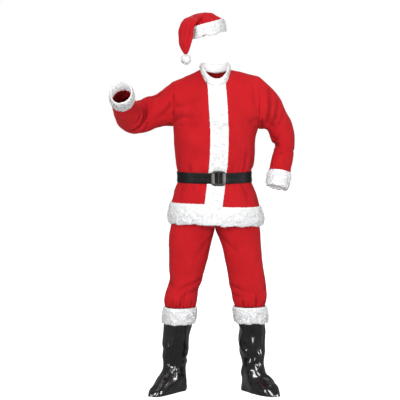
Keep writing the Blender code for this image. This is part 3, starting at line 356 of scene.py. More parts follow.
# Each fold: row and column of its start, middle and end, its strength at the start and the end, its
# half width and its depth, in mm. Rows and columns are those of the CAD's tables.
FOLD_UNITS = (1,) * 8 + (1000, 1000)
FOLDS = {
    "jacket_front_right": """
    8.4 7.7 8.9 5.8 8.3 3.4 1 0.1 17 6
    10.5 7.7 10.1 6.2 10.6 4.2 0.9 0 19 5
    3.1 6.5 4.4 6 5.9 6.3 1 0 14 5
    3.1 4.1 3.8 4.2 4.7 3.9 1 0 12 3.5
    1.9 5.3 1.1 5.4 0.1 5.1 1 0.6 15 5
    1.9 3.5 1.4 3.6 0.6 3.3 0.8 0 12 3
    1.9 7 1.2 7.1 0.4 7.3 0.8 0.1 14 4""",
    "jacket_front_left": """
    5.7 4.7 4.5 4.6 3.1 4.8 0.3 1 13 5.5
    5.3 6.2 4.2 6 3.1 6.2 0.2 1 13 5.5
    6.4 7.5 5 7 3.3 7.3 0.5 1 16 5.5
    1.9 4.4 1 4.7 0.1 4.5 1 0.6 13 5
    1.9 6.7 1 6.8 0.2 6.6 1 0.3 15 4.5
    9.1 7.6 8.6 6.2 7.7 4.8 1 0 18 5
    12.6 6.9 11 6.6 9.5 7 0.2 1 15 4""",
    # The back's columns run from the right side seam, 0, over the middle, 8, to the left, 16.
    "jacket_back": """
    9.6 0.8 8.6 3.4 8 6.2 1 0 20 7
    11.2 0.8 10.6 3.2 10.9 5.6 1 0 20 6
    12.4 1.2 12 3.4 12.3 5.2 0.8 0 18 4.5
    3.1 3 4.5 3.4 6.4 3.1 1 0.1 16 7
    3.1 6.2 4.2 6.6 5.6 6.2 1 0 14 6
    3.1 9.8 4.4 9.4 6 9.9 1 0 16 6
    3.1 13 4.8 12.6 6.6 13.1 1 0.2 16 7
    4.3 5 3.9 8 4.4 11.2 0.1 0.2 14 5
    9 15 8.4 12.8 7.6 10.4 1 0 20 6
    12.2 14.8 11 14.2 9.8 14.5 0.3 1 16 5
    1.9 4.6 1 4.3 0.1 4.6 1 0.6 16 6
    1.9 8.3 1.2 8.1 0.3 8.4 1 0.2 14 4.5
    1.9 11.6 1 12 0.1 11.7 1 0.6 16 6""",
    "jacket_sleeve_right": """
    5.5 0.1 5 2.3 4.8 5.2 0.6 0.8 12 14
    4.5 0.4 4.3 2.4 4.2 4.6 0.3 0.4 14 6
    6.2 0.8 5.8 2.6 5.6 4.6 0.3 0.3 13 3.5
    3.3 4.4 3.4 5.6 3.7 7 1 0.2 11 7
    1.3 1 2.1 0.6 3 0.7 0.4 0.8 12 8
    2.4 0.9 2.9 1.8 3.2 3 0.6 0.1 11 5
    0.5 3.3 1.5 3.9 2.7 4.2 0.9 0.1 18 8
    0.5 5.9 1.4 6.4 2.7 6.2 1 0 15 9
    0.5 7.7 1.6 8.2 2.9 7.9 1 0 15 9
    0.5 10.3 1.6 10 2.8 10.9 0.9 0.1 18 8
    0.5 12.2 1.3 12.6 2.3 12.3 0.8 0 14 5
    4.2 9.2 4.5 11.2 4.9 13.3 0.6 0.6 13 10
    3.3 9.8 3.6 11.5 3.9 13.2 0.3 0.5 13 7
    5.3 9.5 5.6 11.2 6 12.8 0.4 0.3 13 6
    6.3 1 5.9 2.8 6.3 4.8 0.5 0.2 11 5
    6.7 8.2 6.3 10 6.9 11.9 0.3 0.6 12 6
    7 5.6 6.6 6.8 7 8 0.3 0.3 11 4.5""",
    "jacket_sleeve_left": """
    0.7 1.3 0.9 3 1.2 5 0.5 0.9 14 9
    1.5 0.8 1.8 2.8 2.1 5 0.5 0.7 14 8
    2.5 1.2 2.7 2.8 2.9 4.6 0.2 0.6 13 5
    0.4 5.3 0.8 6.2 1.5 6.6 1 0.2 14 10
    3.2 6.4 3.7 5.9 4.1 5.3 1 0.4 10 9
    4.1 4.3 4.35 5.2 4.6 6.3 0.4 1 10 9
    5.5 4.9 5 6.2 4.8 7.7 0.4 1 11 10
    6.1 4.5 5.5 6 5.3 7.6 0.2 0.8 10 7
    3.8 8.8 4.3 10 4.7 11.4 1 0.3 14 9
    4.9 8.8 5.3 10.2 5.5 11.8 1 0.2 13 8
    2.6 8.5 2.9 9.8 3 11.4 0.9 0.2 14 7
    1.2 8.3 1.5 9.8 1.6 11.6 0.9 0.2 16 8
    6.6 2 6.9 3.4 7 5.2 0.2 0.6 11 5.5
    6.1 12.6 6.4 13.8 6.3 15 0.3 0.3 11 4
    6.8 8.4 7 10 6.7 11.9 0.6 0.2 12 5.5""",
    # A trouser panel's columns run from its inner edge to the side seam.
    "trousers_front_right": """
    9.6 0.4 10.1 2 10.8 4.4 1 0.2 13 7.5
    10.9 0.3 11 1.8 11.4 3.4 0.9 0.2 12 6
    11.1 3 11.9 3.3 12.9 3.4 0.4 1 12 6.7
    11.6 5.1 12.2 4.9 12.9 5.2 0.3 1 11 5.3
    12.1 1.5 12.5 1.7 12.9 1.6 0.3 1 10 4.5
    6.1 0.5 6.9 1.8 8.1 2.9 1 0.1 16 4.9
    6.4 0.2 7.4 1 8.9 1.4 0.8 0.1 14 3.7
    8.2 6.6 9.6 6.1 10.9 6.5 0.2 0.6 16 4.5
    9.9 6.8 10.4 5.8 10.6 4.9 0.8 0.1 13 4.5""",
    "trousers_front_left": """
    9.9 0.4 10.5 2 11.1 3.9 1 0.2 13 6.7
    11.3 0.4 11.5 1.9 11.6 3.2 0.8 0.1 12 5.3
    11.4 4.2 12.1 4.4 12.9 4.5 0.4 1 12 6.7
    12 2.3 12.4 2.4 12.9 2.2 0.3 1 10 5.3
    11.9 5.9 12.4 5.8 12.9 6 0.3 1 10 4.5
    6.2 0.5 6.9 1.9 7.9 3.2 1 0.1 15 4.9
    8.1 5.8 9.6 6.3 11 6 0.2 0.5 16 4.5
    10.3 6.8 10.7 5.9 10.9 5 0.8 0.1 13 4.5""",
    "trousers_back_right": """
    9.5 0.8 10 3.2 10.3 5.8 0.6 0.5 15 8.3
    10.5 1.2 10.9 3.4 11 5.6 0.5 0.5 14 7.5
    11.6 3 12.1 3.2 12.9 3 0.3 1 12 6
    11.9 5.2 12.4 5.4 12.9 5.2 0.3 1 11 5.3
    6.2 0.5 7 2 7.6 4 1 0.2 16 6
    5.4 2 5.7 3.9 5.6 6 0.4 0.3 17 4.5""",
    "trousers_back_left": """
    9.8 0.7 10.2 3 10.4 5.7 0.6 0.5 15 8.3
    10.8 1 11.1 3.2 11.3 5.4 0.5 0.5 14 6.7
    11.5 2.2 12.1 2.3 12.9 2.1 0.3 1 12 6
    11.8 4.6 12.3 4.8 12.9 4.7 0.3 1 11 5.3
    6.2 0.5 6.9 2.2 7.8 4.1 1 0.2 16 6
    5.6 2.2 5.5 4.1 5.8 6.1 0.3 0.4 17 4.5""",
    # A boot cover half's columns run from the toe line to the heel line.
    "boot_cover_right_inner": """
    5 0.4 5.2 2.4 4.8 4.6 0.8 0.4 20 2.8
    5.8 0.3 5.9 1.8 5.5 3.6 0.9 0.3 17 2.4
    4.3 1.4 4.4 3.4 4 5.8 0.5 0.6 22 2.8
    3.3 0.8 3.5 2.6 3.2 4.6 0.5 0.3 24 2.4
    1.3 1.6 2.3 1.4 3.1 1.9 0.3 0.7 24 2.4
    0.8 3.4 1.9 3.6 2.9 3.1 0.4 0.6 27 2.4
    5.3 5.2 5.6 6 5.3 6.8 0.6 0.4 20 2.4
    6.7 0.6 6.5 1.9 6.1 3.2 0.6 0.4 20 1.9""",
    "boot_cover_right_outer": """
    5.1 0.5 5.3 2.2 5 4.4 0.8 0.5 20 2.8
    5.9 0.5 5.7 2.3 5.4 4 0.7 0.3 17 2.6
    4.4 0.8 4.5 2.8 4.3 5 0.4 0.7 22 2.8
    3.6 2.4 3.5 4 3.8 5.6 0.4 0.5 22 2.4
    1.2 2 2.2 2.4 3.2 2 0.3 0.7 27 2.6
    1 4.6 2 4.3 2.8 4.7 0.5 0.4 27 2.4
    4.7 5.4 5.1 6.1 4.9 6.8 0.6 0.4 20 2.4
    6.6 0.8 6.4 2.2 6.2 3.6 0.5 0.4 20 1.9""",
    "boot_cover_left_inner": """
    2.1 0 1.9 1.4 2.3 3 0.6 0.3 26 6.4
    4 0.1 3.9 1.4 4.1 2.6 0.5 0.4 20 5
    4.8 0.5 5.1 2.2 4.9 4.8 0.7 0.5 20 2.8
    5.7 0.4 5.6 2 5.9 3.8 0.9 0.3 17 2.6
    4.1 1.6 4.3 3.2 4.2 5.4 0.6 0.5 22 2.8
    2.2 2.6 2.5 1.2 3.1 0.6 0.9 0.4 27 2.8
    1 1.2 1.5 2.6 1.4 4.2 0.4 0.6 27 2.6
    3.2 3 3.3 4.4 3 5.8 0.4 0.6 24 2.4
    5.2 5.3 5.4 6.1 5.1 6.9 0.6 0.4 20 2.4
    6.8 0.7 6.4 1.8 6.2 3.1 0.6 0.4 20 2.1""",
    "boot_cover_left_outer": """
    5.2 0.4 5 2.4 5.1 4.2 0.8 0.5 20 2.8
    6 0.5 5.8 2.1 5.5 3.7 0.7 0.3 17 2.4
    4.2 0.9 4.5 2.6 4.4 5.1 0.4 0.7 22 2.8
    1 1.4 2.2 1.7 3.6 1.3 0.4 0.7 24 2.6
    1.2 3.2 2.4 3 3.5 3.4 0.3 0.7 24 2.6
    0.9 5.2 2 5 3 5.4 0.5 0.4 27 2.4
    4.8 5.3 5 6 5.2 6.8 0.6 0.4 20 2.4
    6.7 0.6 6.6 2 6.3 3.3 0.5 0.4 20 2.1""",
    # Each half of the crown's columns run from its own first.
    "hat_crown_front": """
    0.3 3.1 2 3.7 3.9 3.2 0.9 0.6 10 7
    0.3 5.3 1.8 5 3.4 4.4 1 0.3 10 7
    0.3 1.3 1.8 1.9 3.3 2.3 0.7 0.2 11 6
    0.6 6.5 2.4 6.1 4.4 5.6 0.7 0.5 9 6
    4.6 1.2 7.2 1.6 10 1.2 0.4 0.6 7 4.5
    5.4 4.6 7.8 4.3 10.4 4.6 0.4 0.6 7 4.5""",
    "hat_crown_back": """
    0.3 2 2 2.6 3.8 2.1 0.9 0.5 11 7
    0.3 4.6 1.8 5 3.4 4.4 0.8 0.2 11 6
    4.8 2.8 7.4 2.4 10 2.9 0.4 0.6 8 5""",
}
FOLDS = {node: table(rows, FOLD_UNITS) for node, rows in FOLDS.items()}

# Where cloth is drawn in, by the start of a node's name: row, how far that reaches, how many puckers
# go round, their depth.
GATHERS = {
    "jacket_sleeve": ((8, 0.026, 17, 0.0034), (0, 0.020, 15, 0.0016)),
    "jacket": ((2, 0.034, 34, 0.0030), (3, 0.040, 30, 0.0034), (0, 0.016, 40, 0.0012)),
    "trousers": ((13, 0.040, 22, 0.0042),),
    "hat_crown": ((0, 0.016, 26, 0.0018),),
}

FLOOR_HALF = 12.0
GLOSS_SKY = 0.22  # strength of the room that shows in gloss
# The lamps: place, width, height and share of the key power. A strip only shows in the gloss.
LAMPS = (
    ("key_lamp", (-1.6, -4.4, 1.3), 1.7, 1.7, 1.0),
    ("fill_lamp", (2.2, -4.0, 0.5), 1.7, 1.7, 0.60),
    ("top_lamp", (0.2, 0.6, 3.2), 2.6, 2.6, 0.25),
    ("back_lamp", (-0.6, 4.4, 1.0), 2.6, 2.6, 0.45),
    ("right_strip", (-2.9, -1.9, -0.70), 0.40, 1.6, 0.30),
    ("left_strip", (3.1, -1.0, -0.70), 0.40, 1.6, 0.34),
    ("front_strip", (0.9, -4.2, -0.80), 1.00, 1.4, 0.36),
)


# ---------------------------------------------------------------- grids


def by_start(entries, node):
    """The first entry whose key a node's name starts with."""
    return next(entry for start, entry in entries.items() if node.startswith(start))


def unit(vectors):
    """Each vector over its length."""
    return vectors / np.maximum(np.linalg.norm(vectors, axis=-1, keepdims=True), 1e-12)


def between(rows, where):
    """Every column of a table, read at `where` in its first column."""
    rows = rows[np.argsort(rows[:, 0])]
    return np.stack([np.interp(where, rows[:, 0], column) for column in rows.T[1:]])


def smooth_rows(knots):
    """Rows of points, filled in to STEPS times as many.

    Between two rows each point runs on the cubic that meets both of them. Its slope at a row is the
    mean of the slopes on either side, each weighted by the other side's chord.
    """
    chord = np.linalg.norm(np.diff(knots, axis=0), axis=-1).reshape(len(knots) - 1, -1).mean(axis=1)
    chord = chord[:, None, None]
    slope = np.diff(knots, axis=0) / chord
    tangent = np.empty_like(knots)
    tangent[1:-1] = (slope[:-1] * chord[1:] + slope[1:] * chord[:-1]) / (chord[:-1] + chord[1:])
    tangent[0] = 1.5 * slope[0] - 0.5 * tangent[1]
    tangent[-1] = 1.5 * slope[-1] - 0.5 * tangent[-2]
    t = (np.arange(STEPS) / STEPS)[None, :, None, None]
    leaving, reaching = (tangent[:-1] * chord)[:, None], (tangent[1:] * chord)[:, None]
    fine = (2 * t**3 - 3 * t**2 + 1) * knots[:-1, None] + (3 * t**2 - 2 * t**3) * knots[1:, None]
    fine = fine + (t**3 - 2 * t**2 + t) * leaving + (t**3 - t**2) * reaching
    return np.concatenate((fine.reshape(-1, *knots.shape[1:]), knots[-1:]))


def closed(grid):
    """A ring's grid with its first column again at the end."""
    return np.concatenate((grid, grid[:, :1]), axis=1)


def circle(count):
    """`count` angles evenly round a circle."""
    return np.linspace(0, 2 * math.pi, count, endpoint=False)


def point_normals(grid, ring):
    """Area-weighted normals of a grid's points, turned outwards."""
    whole = closed(grid) if ring else grid
    faces = np.cross(whole[1:, 1:] - whole[:-1, :-1], whole[1:, :-1] - whole[:-1, 1:])
    normals = np.zeros_like(whole)
    for row in (slice(None, -1), slice(1, None)):
        for column in (slice(None, -1), slice(1, None)):
            normals[row, column] += faces
    if ring:
        normals[:, 0] += normals[:, -1]
        normals = normals[:, :-1]
    outwards = np.sum(normals * (grid - grid.mean(axis=(0, 1))))
    return normals if outwards > 0 else -normals


def sewn_normals(grids, rings):
    """The way each point's wall goes out: one mitred step for every piece that shares the point."""
    own = [unit(point_normals(grid, ring)).reshape(-1, 3) for grid, ring in zip(grids, rings)]
    own = np.concatenate(own)
    keys = np.round(np.concatenate([grid.reshape(-1, 3) for grid in grids]) * 1e5).astype(int)
    index = np.unique(keys, axis=0, return_inverse=True)[1].reshape(-1)
    total = np.zeros((index.max() + 1, 3))
    np.add.at(total, index, own)
    shared = unit(total)
    mitre = np.ones(len(shared))
    np.minimum.at(mitre, index, np.sum(shared[index] * own, axis=1))
    steps = (shared / np.clip(mitre, LEAST_MITRE, 1)[:, None])[index]
    parts = np.split(steps, np.cumsum([grid.shape[0] * grid.shape[1] for grid in grids])[:-1])
    return [part.reshape(grid.shape) for part, grid in zip(parts, grids)]


def lone_normals(grid, ring=True):
    """The same for a piece that is sewn to no other."""
    return sewn_normals([grid], [ring])[0]


def run(grid, axis):
    """How far each point is along its column (axis 0) or row (axis 1), in metres."""
    step = np.linalg.norm(np.diff(grid, axis=axis), axis=-1)
    return np.concatenate((np.zeros_like(np.take(step, [0], axis)), np.cumsum(step, axis)), axis)


def from_edge(grid, ring):
    """Distance of each point from the nearest edge of its piece, along the cloth."""
    down = run(grid, 0)
    near = np.minimum(down, down[-1:] - down)
    if ring:
        return near
    across = run(grid, 1)
    return np.minimum(near, np.minimum(across, across[:, -1:] - across))


def fading(distance, reach):
    """1 where the distance is 0, falling to 0 as exp(-(distance / reach)^2)."""
    return np.exp(-((distance / reach) ** 2))


# ---------------------------------------------------------------- folds, puckers and ripples


def ripple(points, seed, wave, count=14):
    """A smooth uneven height from -1 to 1 or so: a sum of sine waves of seeded ways and phases.

    Their lengths lie round `wave`, and each is bent a little by the one before it.
    """
    rng = np.random.default_rng(seed)
    ways = unit(rng.normal(size=(count, 3))) * rng.uniform(0.6, 1.5, (count, 1)) * 2 * math.pi / wave
    total = np.zeros(points.shape[:-1])
    height = 0.0
    for way, phase in zip(ways, rng.uniform(0, 2 * math.pi, count)):
        height = np.sin(points @ way + phase + 0.9 * height)
        total = total + height
    return total / math.sqrt(count)


def crumple(points, seed, wave):
    """Flat facets that meet at soft ridges: the gaps between three ripples, less their mean."""
    first, second, third = (ripple(points, seed + number, wave, 5) for number in range(3))
    ridge = np.sqrt((first - second) ** 2 + CRUMPLE_SOFT) + np.sqrt((second - third) ** 2 + CRUMPLE_SOFT)
    return ridge - ridge.mean()


def puckers(angle, waves, seed):
    """Puckers round an edge: a sum of cosines of whole numbers of waves near `waves`."""
    rng = np.random.default_rng(seed)
    counts = rng.integers(int(0.55 * waves), int(1.5 * waves), 6)
    phases = rng.uniform(0, 2 * math.pi, 6)
    return np.tanh(sum(np.cos(count * angle + phase) for count, phase in zip(counts, phases)) / 2)


def read(grid, places, ring):
    """The grid's points at fine rows and columns, with a straight mix between neighbours."""
    whole = closed(grid) if ring else grid
    rows, columns = whole.shape[:2]
    row = np.clip(places[:, 0], 0, rows - 1.001)
    column = np.mod(places[:, 1], columns - 1) if ring else np.clip(places[:, 1], 0, columns - 1.001)
    top, first = row.astype(int), column.astype(int)
    down, across = (row - top)[:, None], (column - first)[:, None]
    upper = whole[top, first] * (1 - across) + whole[top, first + 1] * across
    lower = whole[top + 1, first] * (1 - across) + whole[top + 1, first + 1] * across
    return upper * (1 - down) + lower * down


def folded(node, grid, ring):
    """How far the folds press each point in, which fades out at the edges of the piece.

    Each fold is a curve on the cloth through three places. Across it the press is
    depth * (1 - FOLD_RIDGE * u^2 / 2) * exp(-u^2), where u is the distance over the half width, so a
    ridge stands on either side. The sides differ in width, and the strength changes along it.
    """
    points, normals = grid.reshape(-1, 3), unit(point_normals(grid, ring)).reshape(-1, 3)
    t = np.linspace(0, 1, FOLD_SAMPLES)
    mix = np.stack(((1 - t) * (1 - 2 * t), 4 * t * (1 - t), t * (2 * t - 1)), -1)
    press = np.zeros(len(points))
    for *places, start, end, half_width, depth in FOLDS[node]:
        path = read(grid, mix @ np.reshape(places, (3, 2)) * STEPS, ring)
        strength = np.clip(mix @ (start, 1, end), 0, 1)
        gaps = points[:, None] - path
        nearest = np.argmin((gaps**2).sum(axis=-1), axis=1)
        gap = gaps[np.arange(len(points)), nearest]
        way = unit(np.gradient(path, axis=0))[nearest]
        side = np.sum(np.cross(way, gap) * normals, axis=1)
        width = half_width * np.where(side > 0, FOLD_GENTLE, FOLD_STEEP)
        square = (gap**2).sum(axis=1) / width**2
        press += depth * strength[nearest] * (1 - FOLD_RIDGE * square / 2) * np.exp(-square)
    return press.reshape(grid.shape[:2]) * (1 - fading(from_edge(grid, ring), FOLD_CLEAR))


def gathered(node, grid, angle, seed):
    """Puckers that start at the drawn-in rows and die away from them."""
    down = run(grid, 0)
    lift = np.zeros(grid.shape[:2])
    for number, (row, reach, waves, depth) in enumerate(by_start(GATHERS, node)):
        reach = reach * (1 + PUCKER_UNEVEN * puckers(angle, waves / 3, seed))
        away = np.abs(down - down[row * STEPS]) / reach
        lift += depth * puckers(angle, waves, seed + number + 1) * np.exp(-(away**1.6))
    return lift


# ---------------------------------------------------------------- meshes


def quads_of(rows, columns, ring, offset=0):
    """Corner numbers of a grid's points, and of its cells."""
    index = np.arange(rows * columns).reshape(rows, columns) + offset
    if ring:
        index = closed(index)
    cells = np.stack((index[:-1, :-1], index[:-1, 1:], index[1:, 1:], index[1:, :-1]), -1)
    return index, cells.reshape(-1, 4)


def make_mesh(name, points, faces, attributes=(), sharp=None, turn=True):
    """An object from numpy arrays. Faces are rows of corner numbers, turned to face out on request."""
    points = points.reshape(-1, 3)
    corners = points[faces]
    spans = np.cross(corners[:, 1:-1] - corners[:, :1], corners[:, 2:] - corners[:, :1])
    if turn and np.sum(spans * corners[:, :1]) < 0:
        faces = faces[:, ::-1]
    mesh = bpy.data.meshes.new(name)
    mesh.vertices.add(len(points))
    mesh.vertices.foreach_set("co", np.ascontiguousarray(points, np.float32).ravel())
    mesh.loops.add(faces.size)
    mesh.loops.foreach_set("vertex_index", np.ascontiguousarray(faces, np.int32).ravel())
    mesh.polygons.add(len(faces))
    mesh.polygons.foreach_set("loop_start", np.arange(0, faces.size, faces.shape[1], dtype=np.int32))
    mesh.update(calc_edges=True)
    mesh.shade_smooth()
    if sharp:
        mesh.set_sharp_from_angle(angle=math.radians(sharp))
    for title, values in attributes:
        mesh.attributes.new(title, "FLOAT", "POINT")
        mesh.attributes[title].data.foreach_set("value", np.ascontiguousarray(values, np.float32).ravel())
    obj = bpy.data.objects.new(name, mesh)
    bpy.context.scene.collection.objects.link(obj)
    return obj


def wall(name, inside, outside, ring, attributes=()):
    """A closed piece between two grids of the same size. A ring's last column joins its first."""
    rows, columns = inside.shape[:2]
    near, near_quads = quads_of(rows, columns, ring)
    far, far_quads = quads_of(rows, columns, ring, rows * columns)
    rim = [(near[0], far[0]), (far[-1], near[-1])]
    if not ring:
        rim += [(far[:, 0], near[:, 0]), (near[:, -1], far[:, -1])]
    faces = [near_quads[:, ::-1], far_quads]
    faces += [np.stack((low[:-1], low[1:], high[1:], high[:-1]), -1) for low, high in rim]
    doubled = [(title, np.stack((values, values))) for title, values in attributes]
    return make_mesh(name, np.stack((inside, outside)), np.concatenate(faces), doubled, sharp=SHARP)


def hand_over(obj, material, node=None):
    """Gives a finished piece its material and its body, and hides the CAD node that it stands for."""
    obj.data.materials.append(bpy.data.materials[material])
    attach(obj, "root")
    if node:
        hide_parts(node)
    return obj


def cloth_piece(node, grid, normals, angle, seed, ring=False, hold=None):
    """A cloth panel on its CAD solid's place: folds, ripples, puckers and a sewn-in edge, then a wall."""
    suit = bpy.context.scene.santa_suit.cloth
    press = folded(node, grid, ring) * suit.fold_depth
    press += suit.ripple_height * ripple(grid, 11, suit.ripple_length)
    press += RIPPLE_FINE * suit.ripple_height * ripple(grid, 12, suit.ripple_length / RIPPLE_FINER)
    press -= gathered(node, grid, angle, seed)
    press += SEAM_DEPTH * fading(from_edge(grid, ring), SEAM_WIDE)
    if hold is not None:  # where something lies on the cloth it can only go in
        press = press * (1 - hold) + np.clip(press, 0, SEAM_DEPTH) * hold
    inside = grid - normals * press[..., None]
    # painted shade: the deeper the cloth is pressed in, at its folds and seams, the darker it is coloured
    crease_shade = np.clip(press / CREASE_DEEP, 0, 1)
    obj = wall(node + "_cloth", inside, inside + normals * suit.thickness, ring, [("crease_shade", crease_shade)])
    hand_over(obj, "red_cloth", node)


# ---------------------------------------------------------------- plush


def plush(grid):
    """How far a plush strip reaches, from one edge to the other: thin, full, thin."""
    across = np.sin(np.linspace(0, math.pi, len(grid))) ** 0.5
    return np.repeat((PLUSH_EDGE + (PLUSH - PLUSH_EDGE) * across)[:, None], grid.shape[1], axis=1)


def strands(name, surface, ring, length, seed, crowd=1.0):
    """The pile of a plush surface, as one mesh of slim three-sided cones.

    Roots are spread evenly by area. A strand goes out along the surface's normal, leans down the rows
    as the nap lies and the way its tuft leans, which is a smooth seeded field, and turns down a little
    towards its tip.
    """
    suit = bpy.context.scene.santa_suit.plush
    rng = np.random.default_rng(seed)
    normals = unit(point_normals(surface, ring))
    if ring:
        surface, normals, length = closed(surface), closed(normals), closed(length)
    corners = [np.s_[:-1, :-1], np.s_[:-1, 1:], np.s_[1:, 1:], np.s_[1:, :-1]]
    a, b, c, d = (surface[corner].reshape(-1, 3) for corner in corners)
    area = np.linalg.norm(np.cross(c - a, d - b), axis=1) / 2
    count = int(crowd * area.sum() / suit.spacing**2)
    cells = np.searchsorted(np.cumsum(area), np.linspace(0, area.sum(), count, endpoint=False))
    cells = np.minimum(cells, len(area) - 1)
    u, v = rng.uniform(size=(2, count, 1))

    def spread(values):
        """The values of a cell's four corners, mixed at each root's place in its cell."""
        p, q, r, s = (values[corner].reshape(-1, values.shape[-1])[cells] for corner in corners)
        return (p * (1 - u) + q * u) * (1 - v) + (s * (1 - u) + r * u) * v

    root, up, length = spread(surface), unit(spread(normals)), spread(length[..., None])
    nap = unit(spread(np.gradient(surface, axis=0)))
    nap *= -np.sign(nap[:, 2].mean())
    lean = np.stack([ripple(root, number, suit.tuft) for number in (31, 32, 33)], -1) * suit.lean
    lean += rng.normal(size=(count, 3)) * suit.stray
    lean += nap * suit.droop
    lean -= up * np.sum(lean * up, axis=1, keepdims=True)
    length = length * rng.uniform(STRAND_SHORT, STRAND_LONG, (count, 1))
    way = unit(unit(up + lean) + lean * STRAND_BEND - np.array((0, 0, STRAND_DOWN)))
    first = unit(np.cross(up, way) + 1e-6)
    second = np.cross(way, first)
    twist = rng.uniform(0, 2 * math.pi, (count, 1))
    foot = root - up * STRAND_SINK
    feet = [
        foot + (first * np.cos(twist + third) + second * np.sin(twist + third)) * suit.strand / 2
        for third in np.array((0, 2, 4)) * math.pi / 3
    ]
    base = np.arange(count)[:, None] * 4
    faces = np.concatenate((base + (0, 1, 3), base + (1, 2, 3), base + (2, 0, 3)))
    points = np.stack((*feet, root + way * length), 1)
    # the tip value, 0 at a strand's foot and 1 at its tip, grades the painted shade at the roots
    obj = make_mesh(name, points, faces, [("tip", np.tile((0, 0, 0, 1), count))], turn=False)
    soft = unit(up + lean * SOFT_LEAN + rng.normal(size=(count, 3)) * SOFT_STRAY)
    obj.data.normals_split_custom_set_from_vertices(np.repeat(soft, 4, axis=0).tolist())
    obj.visible_shadow = False  # light goes through a white pile
    return hand_over(obj, "white_plush")


def plush_piece(node, grid, normals, reach, seed, ring=True, lift=0.0, free=None):
    """A plush strip: a tufted backing that takes part of its reach, and a pile that takes the rest.

    `free` is the row, 0 or -1, of an edge that is sewn to nothing and so wanders.
    """
    suit = bpy.context.scene.santa_suit.plush
    if free is not None:
        way = unit(grid[free] - grid[-2 if free else 1])
        down = run(grid[::-1], 0)[::-1] if free else run(grid, 0)
        share = (1 - down / down.max(axis=0))[..., None] ** 2
        grid = grid + way * share * suit.edge_wave * ripple(grid[free], 24, EDGE_LENGTH)[None, :, None]
    tufts = 0.5 + 0.5 * ripple(grid, 21, suit.tuft)
    puffs = suit.puff * ripple(grid, 23, PUFF_LENGTH)
    height = reach * suit.backing + (suit.tuft_height * tufts + puffs) * reach / PLUSH
    inside = grid + normals * lift
    outside = inside + normals * height[..., None]
    # painted shade: the backing is greyer where its tufts are low
    backing = wall(node + "_backing", inside, outside, ring, [("tip", 0.6 + 0.4 * tufts)])
    length = (reach - height) + suit.stand_proud
    rooted = np.concatenate((inside[:1], outside, inside[-1:]))
    length = np.concatenate((length[:1], length, length[-1:]))
    pile = strands(node + "_pile", rooted, ring, length, seed)
    hand_over(backing, "white_plush", node)


# ---------------------------------------------------------------- shapes of the pieces


def centre_x(z):
    """x of the line where the fronts meet, at height z."""
    return between(CENTRE_FRONT, z)[0]


def body_row(side, face, z, column):
    """Points of the jacket's body at height z, from the middle to the side seam.

    x = half width * sin(a) ** SQUARE and y = depth * cos(a) ** SQUARE. The first columns of a front
    keep the plush band's width, and the others share what is left of the quarter turn.
    """
    right, left, front, back = between(JACKET, z)
    half = right if side == RIGHT else left
    middle, depth = (side * centre_x(z), front) if face == "front" else (0 * z, back)
    band = middle + column * BAND_HALF / BAND_COLUMNS
    start = np.arcsin(((middle + BAND_HALF) / half) ** (1 / SQUARE))
    share = np.clip(column - BAND_COLUMNS, 0, None) / (FRONT_COLUMNS - BAND_COLUMNS)
    turn = np.minimum(start + (math.pi / 2 - start) * share, math.pi / 2)
    x = np.where(column <= BAND_COLUMNS, band, half * np.sin(turn) ** SQUARE)
    y = depth * np.clip(1 - (np.abs(x) / half) ** (2 / SQUARE), 0, 1) ** (SQUARE / 2)
    return np.stack((side * x, -y if face == "front" else y, z + 0 * x), -1)


def hem_drop(side, face, x):
    """How much lower the hem hangs at x, which is none on the right."""
    if face == "back":
        return LEFT_DROP_SIDE * np.clip((x + HEM_REACH) / (2 * HEM_REACH), 0, 1) ** 2
    if side == RIGHT:
        return 0 * x
    return LEFT_DROP_FRONT + (LEFT_DROP_SIDE - LEFT_DROP_FRONT) * np.clip(x / HEM_REACH, 0, 1)


def armhole(side, face):
    """The armhole's points from underarm to shoulder: half an oval, with the ends at its poles."""
    low_x, mid_x, high_x, low_z, high_z = ARMHOLE[side]
    turn = np.linspace(0, math.pi, ARM_ROWS + 1)
    share = (1 - np.cos(turn)) / 2
    x = low_x + (high_x - low_x) * share + (mid_x - (low_x + high_x) / 2) * np.sin(turn)
    y = ARMHOLE_REACH[face] * np.sin(turn) ** ARMHOLE_SQUARE
    return np.stack((x, y, low_z + (high_z - low_z) * share), -1)


def top_edge(side, face):
    """The neck edge and then the shoulder seam, and the same line with its corner softened."""
    neck = NECK_EDGE[face] * (side, 1, 1)
    if face == "front":
        neck[:, 0] += centre_x(NECK_FRONT) * np.linspace(1, 0, NECK_COLUMNS, endpoint=False)
    point = NECK_POINT * (side, 1, 1)
    neck = smooth_rows(np.concatenate((neck, point[None]))[:, None])[:, 0]
    shoulder = np.linspace(point, armhole(side, face)[-1], (FRONT_COLUMNS - NECK_COLUMNS) * STEPS + 1)
    line = np.concatenate((neck, shoulder[1:]))
    padded = np.cumsum(np.pad(line, ((STEPS + 1, STEPS), (0, 0)), mode="edge"), axis=0)
    blurred = (padded[2 * STEPS + 1 :] - padded[: -2 * STEPS - 1]) / (2 * STEPS + 1)
    column = np.arange(len(line)) / STEPS
    near = np.clip(1 - np.abs(column - NECK_COLUMNS) / NECK_COLUMNS, 0, 1)[:, None]
    return line, line + (blurred - line) * near * (2 - near)


def upper_rows(side, face, lowest):
    """The yoke: a patch that blends its four edges, as their sum less that of its corners."""
    rows = np.linspace(0, 1, ARM_ROWS + 1)[:, None, None]
    top, soft = top_edge(side, face)
    middle = UPPER[face]
    z = np.linspace(middle[0, 0], middle[-1, 0], ARM_ROWS + 1)
    x = centre_x(z) if face == "front" else 0 * z
    inner = np.stack((x, between(middle, z)[0], z), -1)
    inner[0], inner[-1] = lowest[0], top[0]
    outer = armhole(side, face)
    outer[0] = lowest[-1]
    across = np.linspace(0, 1, len(top))[None, :, None]
    softened = soft + (top - soft) * rows**6
    ruled = (1 - rows) * lowest + rows * softened + (1 - across) * inner[:, None] + across * outer[:, None]
    corners = (1 - rows) * ((1 - across) * inner[0] + across * outer[0])
    return ruled - corners - rows * ((1 - across) * inner[-1] + across * outer[-1])


